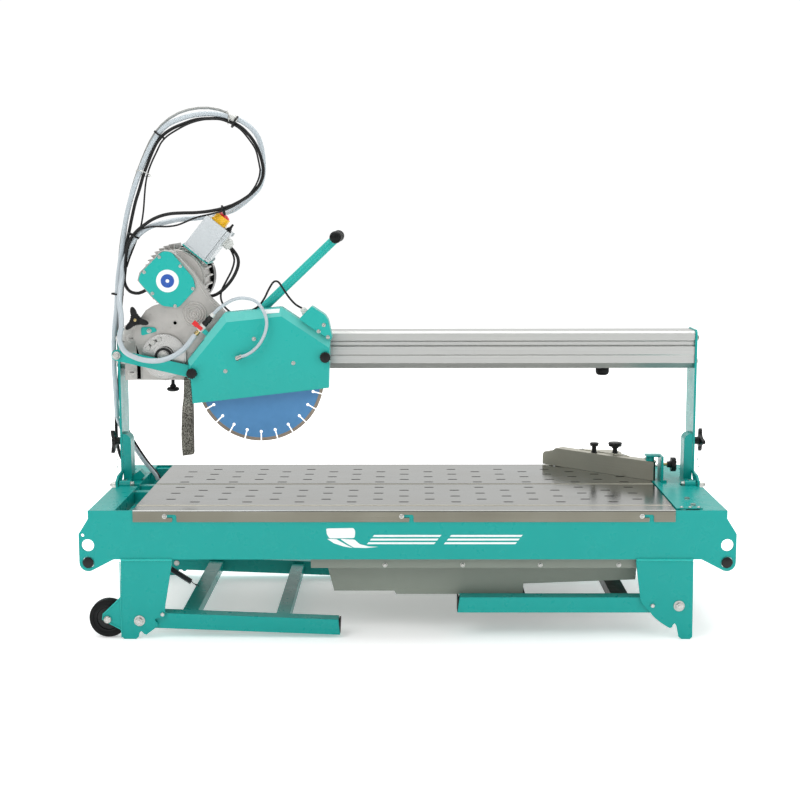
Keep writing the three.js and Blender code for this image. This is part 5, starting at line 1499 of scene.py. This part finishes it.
def side_plate_marks():
    """Plain bars and curved stripes where the printed marks are, with no lettering."""
    badge = [(-206, 291), (-136, 292), (-132, 283), (-134, 266), (-198, 265), (-205, 277)]
    low = [(-204, 264), (-180, 263), (-158, 250), (-139, 240), (-162, 244), (-186, 252)]
    tail = [(-171, 264), (-134, 262), (-121, 250), (-98, 244), (-73, 243), (-106, 240), (-136, 241), (-154, 252)]
    shapes = [rounded(badge, 4, 3), rounded(low, 3, 3), rounded(tail, 3, 3)]
    for x0, x1 in ((-100, 83), (96, 290)):
        for z0, z1 in ((269, 274), (259.5, 264.5), (250, 255)):
            shift = 20 * (z0 - 248) / 26
            shapes.append([(x0 + shift - 4, z0), (x1 + shift - 16, z0), (x1 + shift - 12, z1), (x0 + shift, z1)])
    for side in (-1, 1):
        place = face_on(-0.32) if side < 0 else Matrix.Rotation(math.pi, 4, "Z") @ face_on(-0.32)
        for shape in shapes:
            add_prism(pile("base", "white_mark"), [(x / 1000, z / 1000) for x, z in shape], place, 0.0003)


# ---- fence --------------------------------------------------------------------------------------

def fence_trim():
    """Two mushroom knobs and the screws of the fence, its clamping knob, and the screws of the fence's rails."""
    turn = math.radians(137.1)
    home = mm(681.5, 77.4, 0)

    def spot(x, y, z):
        return home + mm(x * math.cos(turn) - y * math.sin(turn), x * math.sin(turn) + y * math.cos(turn), z)

    for x, y, r, h in ((193, -3, 13.5, 15), (145, -39, 20.5, 17)):
        bm = bmesh.new()
        mushroom(bm, Matrix.Translation(spot(x, y, 408)), r / 1000, h / 1000, r * 0.5 / 1000)
        from_bmesh(f"fence_clamp_{'small' if r < 15 else 'large'}", bm, "black_plastic", "fence", 40)
        add_lathe(pile("fence", "black_plastic"),
                  [(0, 0), (0.0092, 0), (0.0092, 0.0016), (0.0068, 0.0020), (0.0064, 0.018), (0, 0.018)],
                  Matrix.Translation(spot(x, y, 394.5)), 24)
    for x in (28, 246, 100):
        button_screw("fence", spot(x, -19, 393.2), Z, 0.0042)
    lo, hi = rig.box("fence_knob")
    middle = (lo + hi) / 2
    bm = bmesh.new()
    place = stand((0.7345, middle.y, middle.z), X)
    lobed(bm, place, 0.0203, 0.0135, 6, 0.004)
    add_lathe(bm, [(0, -0.010), (0.0085, -0.010), (0.0095, 0.0), (0.0095, 0.001), (0, 0.001)], place, 28)
    piece = from_bmesh("fence_clamp_end", bm, "black_plastic", "fence_knob", 40)
    stand_in(piece, "fence_knob", "black_plastic")
    add_lathe(pile("fence_knob", "brass"), rectangle(0, 0.0042, 0, 0.0185), stand((0.7123, middle.y, middle.z), X),
              16)
    for y in (-297, 297):
        for x in (700, 722, 744):
            button_screw("base", mm(x, y, 340.2), Z, 0.0036)


# ---- bridge: posts, beam ends, hinges ----------------------------------------------------------

def bridge_trim():
    """Bolts and a blank scale on the outer face of each tilt bracket and post, and the rubber buffer on the beam."""
    for side in (-1, 1):
        out = Vector((side, 0, 0))
        face = Vector((side * 0.806, 0, 0))
        for y, z in ((97, 738), (163, 738), (97, 674), (163, 674)):
            hex_bolt("bridge", face + mm(0, y, z), out, 0.0078)
        for y, z in ((26, 386), (40, 404)):
            disc("bridge", "machined", face + mm(0, y, z), 0.0052, 0.0012, axis=out, bevel=0.0006, sides=20)
        # clamping bolt of the tilt knob, and the scale on the post
        disc("bridge", "zinc_steel", face + mm(0, 100, 447), 0.0150, 0.0016, hole=0.0080, axis=out, bevel=0.0005)
        plate = stand(face + mm(0, 122, 600), out, Y)
        scale = rounded(rectangle(-0.020, 0.020, -0.032, 0.032), 0.003, 2)
        band = rounded(rectangle(-0.016, 0.016, 0.016, 0.027), 0.001, 2)
        add_prism(pile("bridge", "white_mark"), scale, plate, 0.0004)
        add_prism(pile("bridge", "blue_mark"), band, plate, 0.0006)
    lo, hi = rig.box("beam_stop")
    profile = [(0, 0), (0.0125, 0), (0.0170, 0.0030), (0.0190, 0.0090), (0.0190, 0.0190), (0.0170, 0.0215),
               (0, 0.0225)]
    foot = ((lo.x + hi.x) / 2, (lo.y + hi.y) / 2, lo.z)
    bm = bmesh.new()
    add_lathe(bm, profile, Matrix.Translation(foot), 32)
    piece = from_bmesh("beam_buffer", bm, "rubber", "bridge", 40)
    stand_in(piece, "beam_stop", "rubber")


# ---- splash flap ---------------------------------------------------------------------------------

def splash_flap():
    """The spray mat: a soft fleece strip that squashes into the tray as the head comes down."""
    columns, rows = 10, 44
    left = smooth_path([Vector((x / 1000, 0, z / 1000)) for x,
                        z in ((-611, 638), (-614, 575), (-619, 480), (-617, 424))], 0.003)
    right = smooth_path([Vector((x / 1000, 0, z / 1000)) for x,
                         z in ((-593.5, 638), (-588.5, 590), (-587.4, 555), (-588, 428))], 0.003)

    def across(path, t):
        return path[round(t * (len(path) - 1))]

    bm = bmesh.new()
    grid = {}
    for side in (-1, 1):
        for i in range(rows + 1):
            for j in range(columns + 1):
                a, b = across(left, i / rows), across(right, i / rows)
                p = a.lerp(b, j / columns)
                edge = i in (0, rows) or j in (0, columns)
                ripple = 0.0 if edge else rng.uniform(-0.0011,
                                                      0.0011) + 0.0009 * math.sin(i * 0.9) * math.sin(j * 1.4)
                front = 0.0172 - 0.0160 * min(1, max(0, (p.z - 0.56) / 0.02)) if side < 0 else 0.0172
                grid[side, i, j] = bm.verts.new((p.x, side * (front - 0.0017 * edge) + ripple * (front > 0.005), p.z))
    for side in (-1, 1):
        for i in range(rows):
            for j in range(columns):
                bm.faces.new((grid[side, i, j], grid[side, i + 1, j], grid[side, i + 1, j + 1], grid[side, i, j + 1]))
    border = [(0, j) for j in range(columns + 1)] + [(i, columns) for i in range(1, rows + 1)]
    border += [(rows, j) for j in range(columns - 1, -1, -1)] + [(i, 0) for i in range(rows - 1, 0, -1)]
    for (i, j), (k, l) in zip(border, border[1:] + border[:1]):
        bm.faces.new((grid[-1, i, j], grid[1, i, j], grid[1, k, l], grid[-1, k, l]))
    piece = from_bmesh("splash_mat", bm, "bristle", "guard", 60)
    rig.squash(piece, "head_plunge", axis=(0, 0, 1), anchor=(-0.602, 0, 0.638), keep=0.68)
    stand_in(piece, "splash_flap", "bristle")


# ---- finishes of the CAD nodes -------------------------------------------------------------

# the guard, lamp box, belt cover and guard link take the lighter copy of the teal: painted light
FINISH_OF_NODE = {"pivot_shaft": "machined", "fence_bar": "fence_steel", "cable_rod": "rod_zinc",
                  "guard_shell": "head_paint", "lamp_box": "head_paint", "belt_cover": "head_paint",
                  "guard_link": "head_paint"}


def dress_nodes():
    """Every CAD node takes the finish of its material slot, or its own where the photograph shows another; the guard,
    lamp box, belt cover and guard link take the lit teal, as painted light.
    """
    for row in frame["record"]["subparts"]:
        node = frame["nodes"][row["node"]]
        finish = FINISH_OF_NODE.get(row["node"], row["material_slot"])
        node.data.materials.clear()
        node.data.materials.append(M[finish])


add_camera()
add_studio()
dress_nodes()
repaint_fittings()
table_panel("table_panel_front", -1)
table_panel("table_panel_rear", 1)
blade_piece()
three_arms("depth_knob_arms", "depth_knob", "depth_knob_turn", turn=14)
three_arms("tilt_knob_left_arms", "tilt_knob_left", "tilt_knob_left_turn")
three_arms("tilt_knob_right_arms", "tilt_knob_right", "tilt_knob_right_turn")
cover_trim()
arm_trim()
pivot_trim()
carriage_trim()
lock_knob()
guard_trim()
lamp_trim()
valve_trim()
switch_trim()
push_handle()
fan_cowl()
motor_body()
wheel("wheel_front")
wheel("wheel_rear")
leg_spring()
base_bolts()
side_plate_marks()
fence_trim()
bridge_trim()
splash_flap()
cables()
cable_fittings()
place_piles()

size = {"cad": [list(p) for p in cad_bounds], "shown": [list(p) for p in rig.bounds()]}
with open("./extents.json", "w") as out:
    json.dump(size, out)
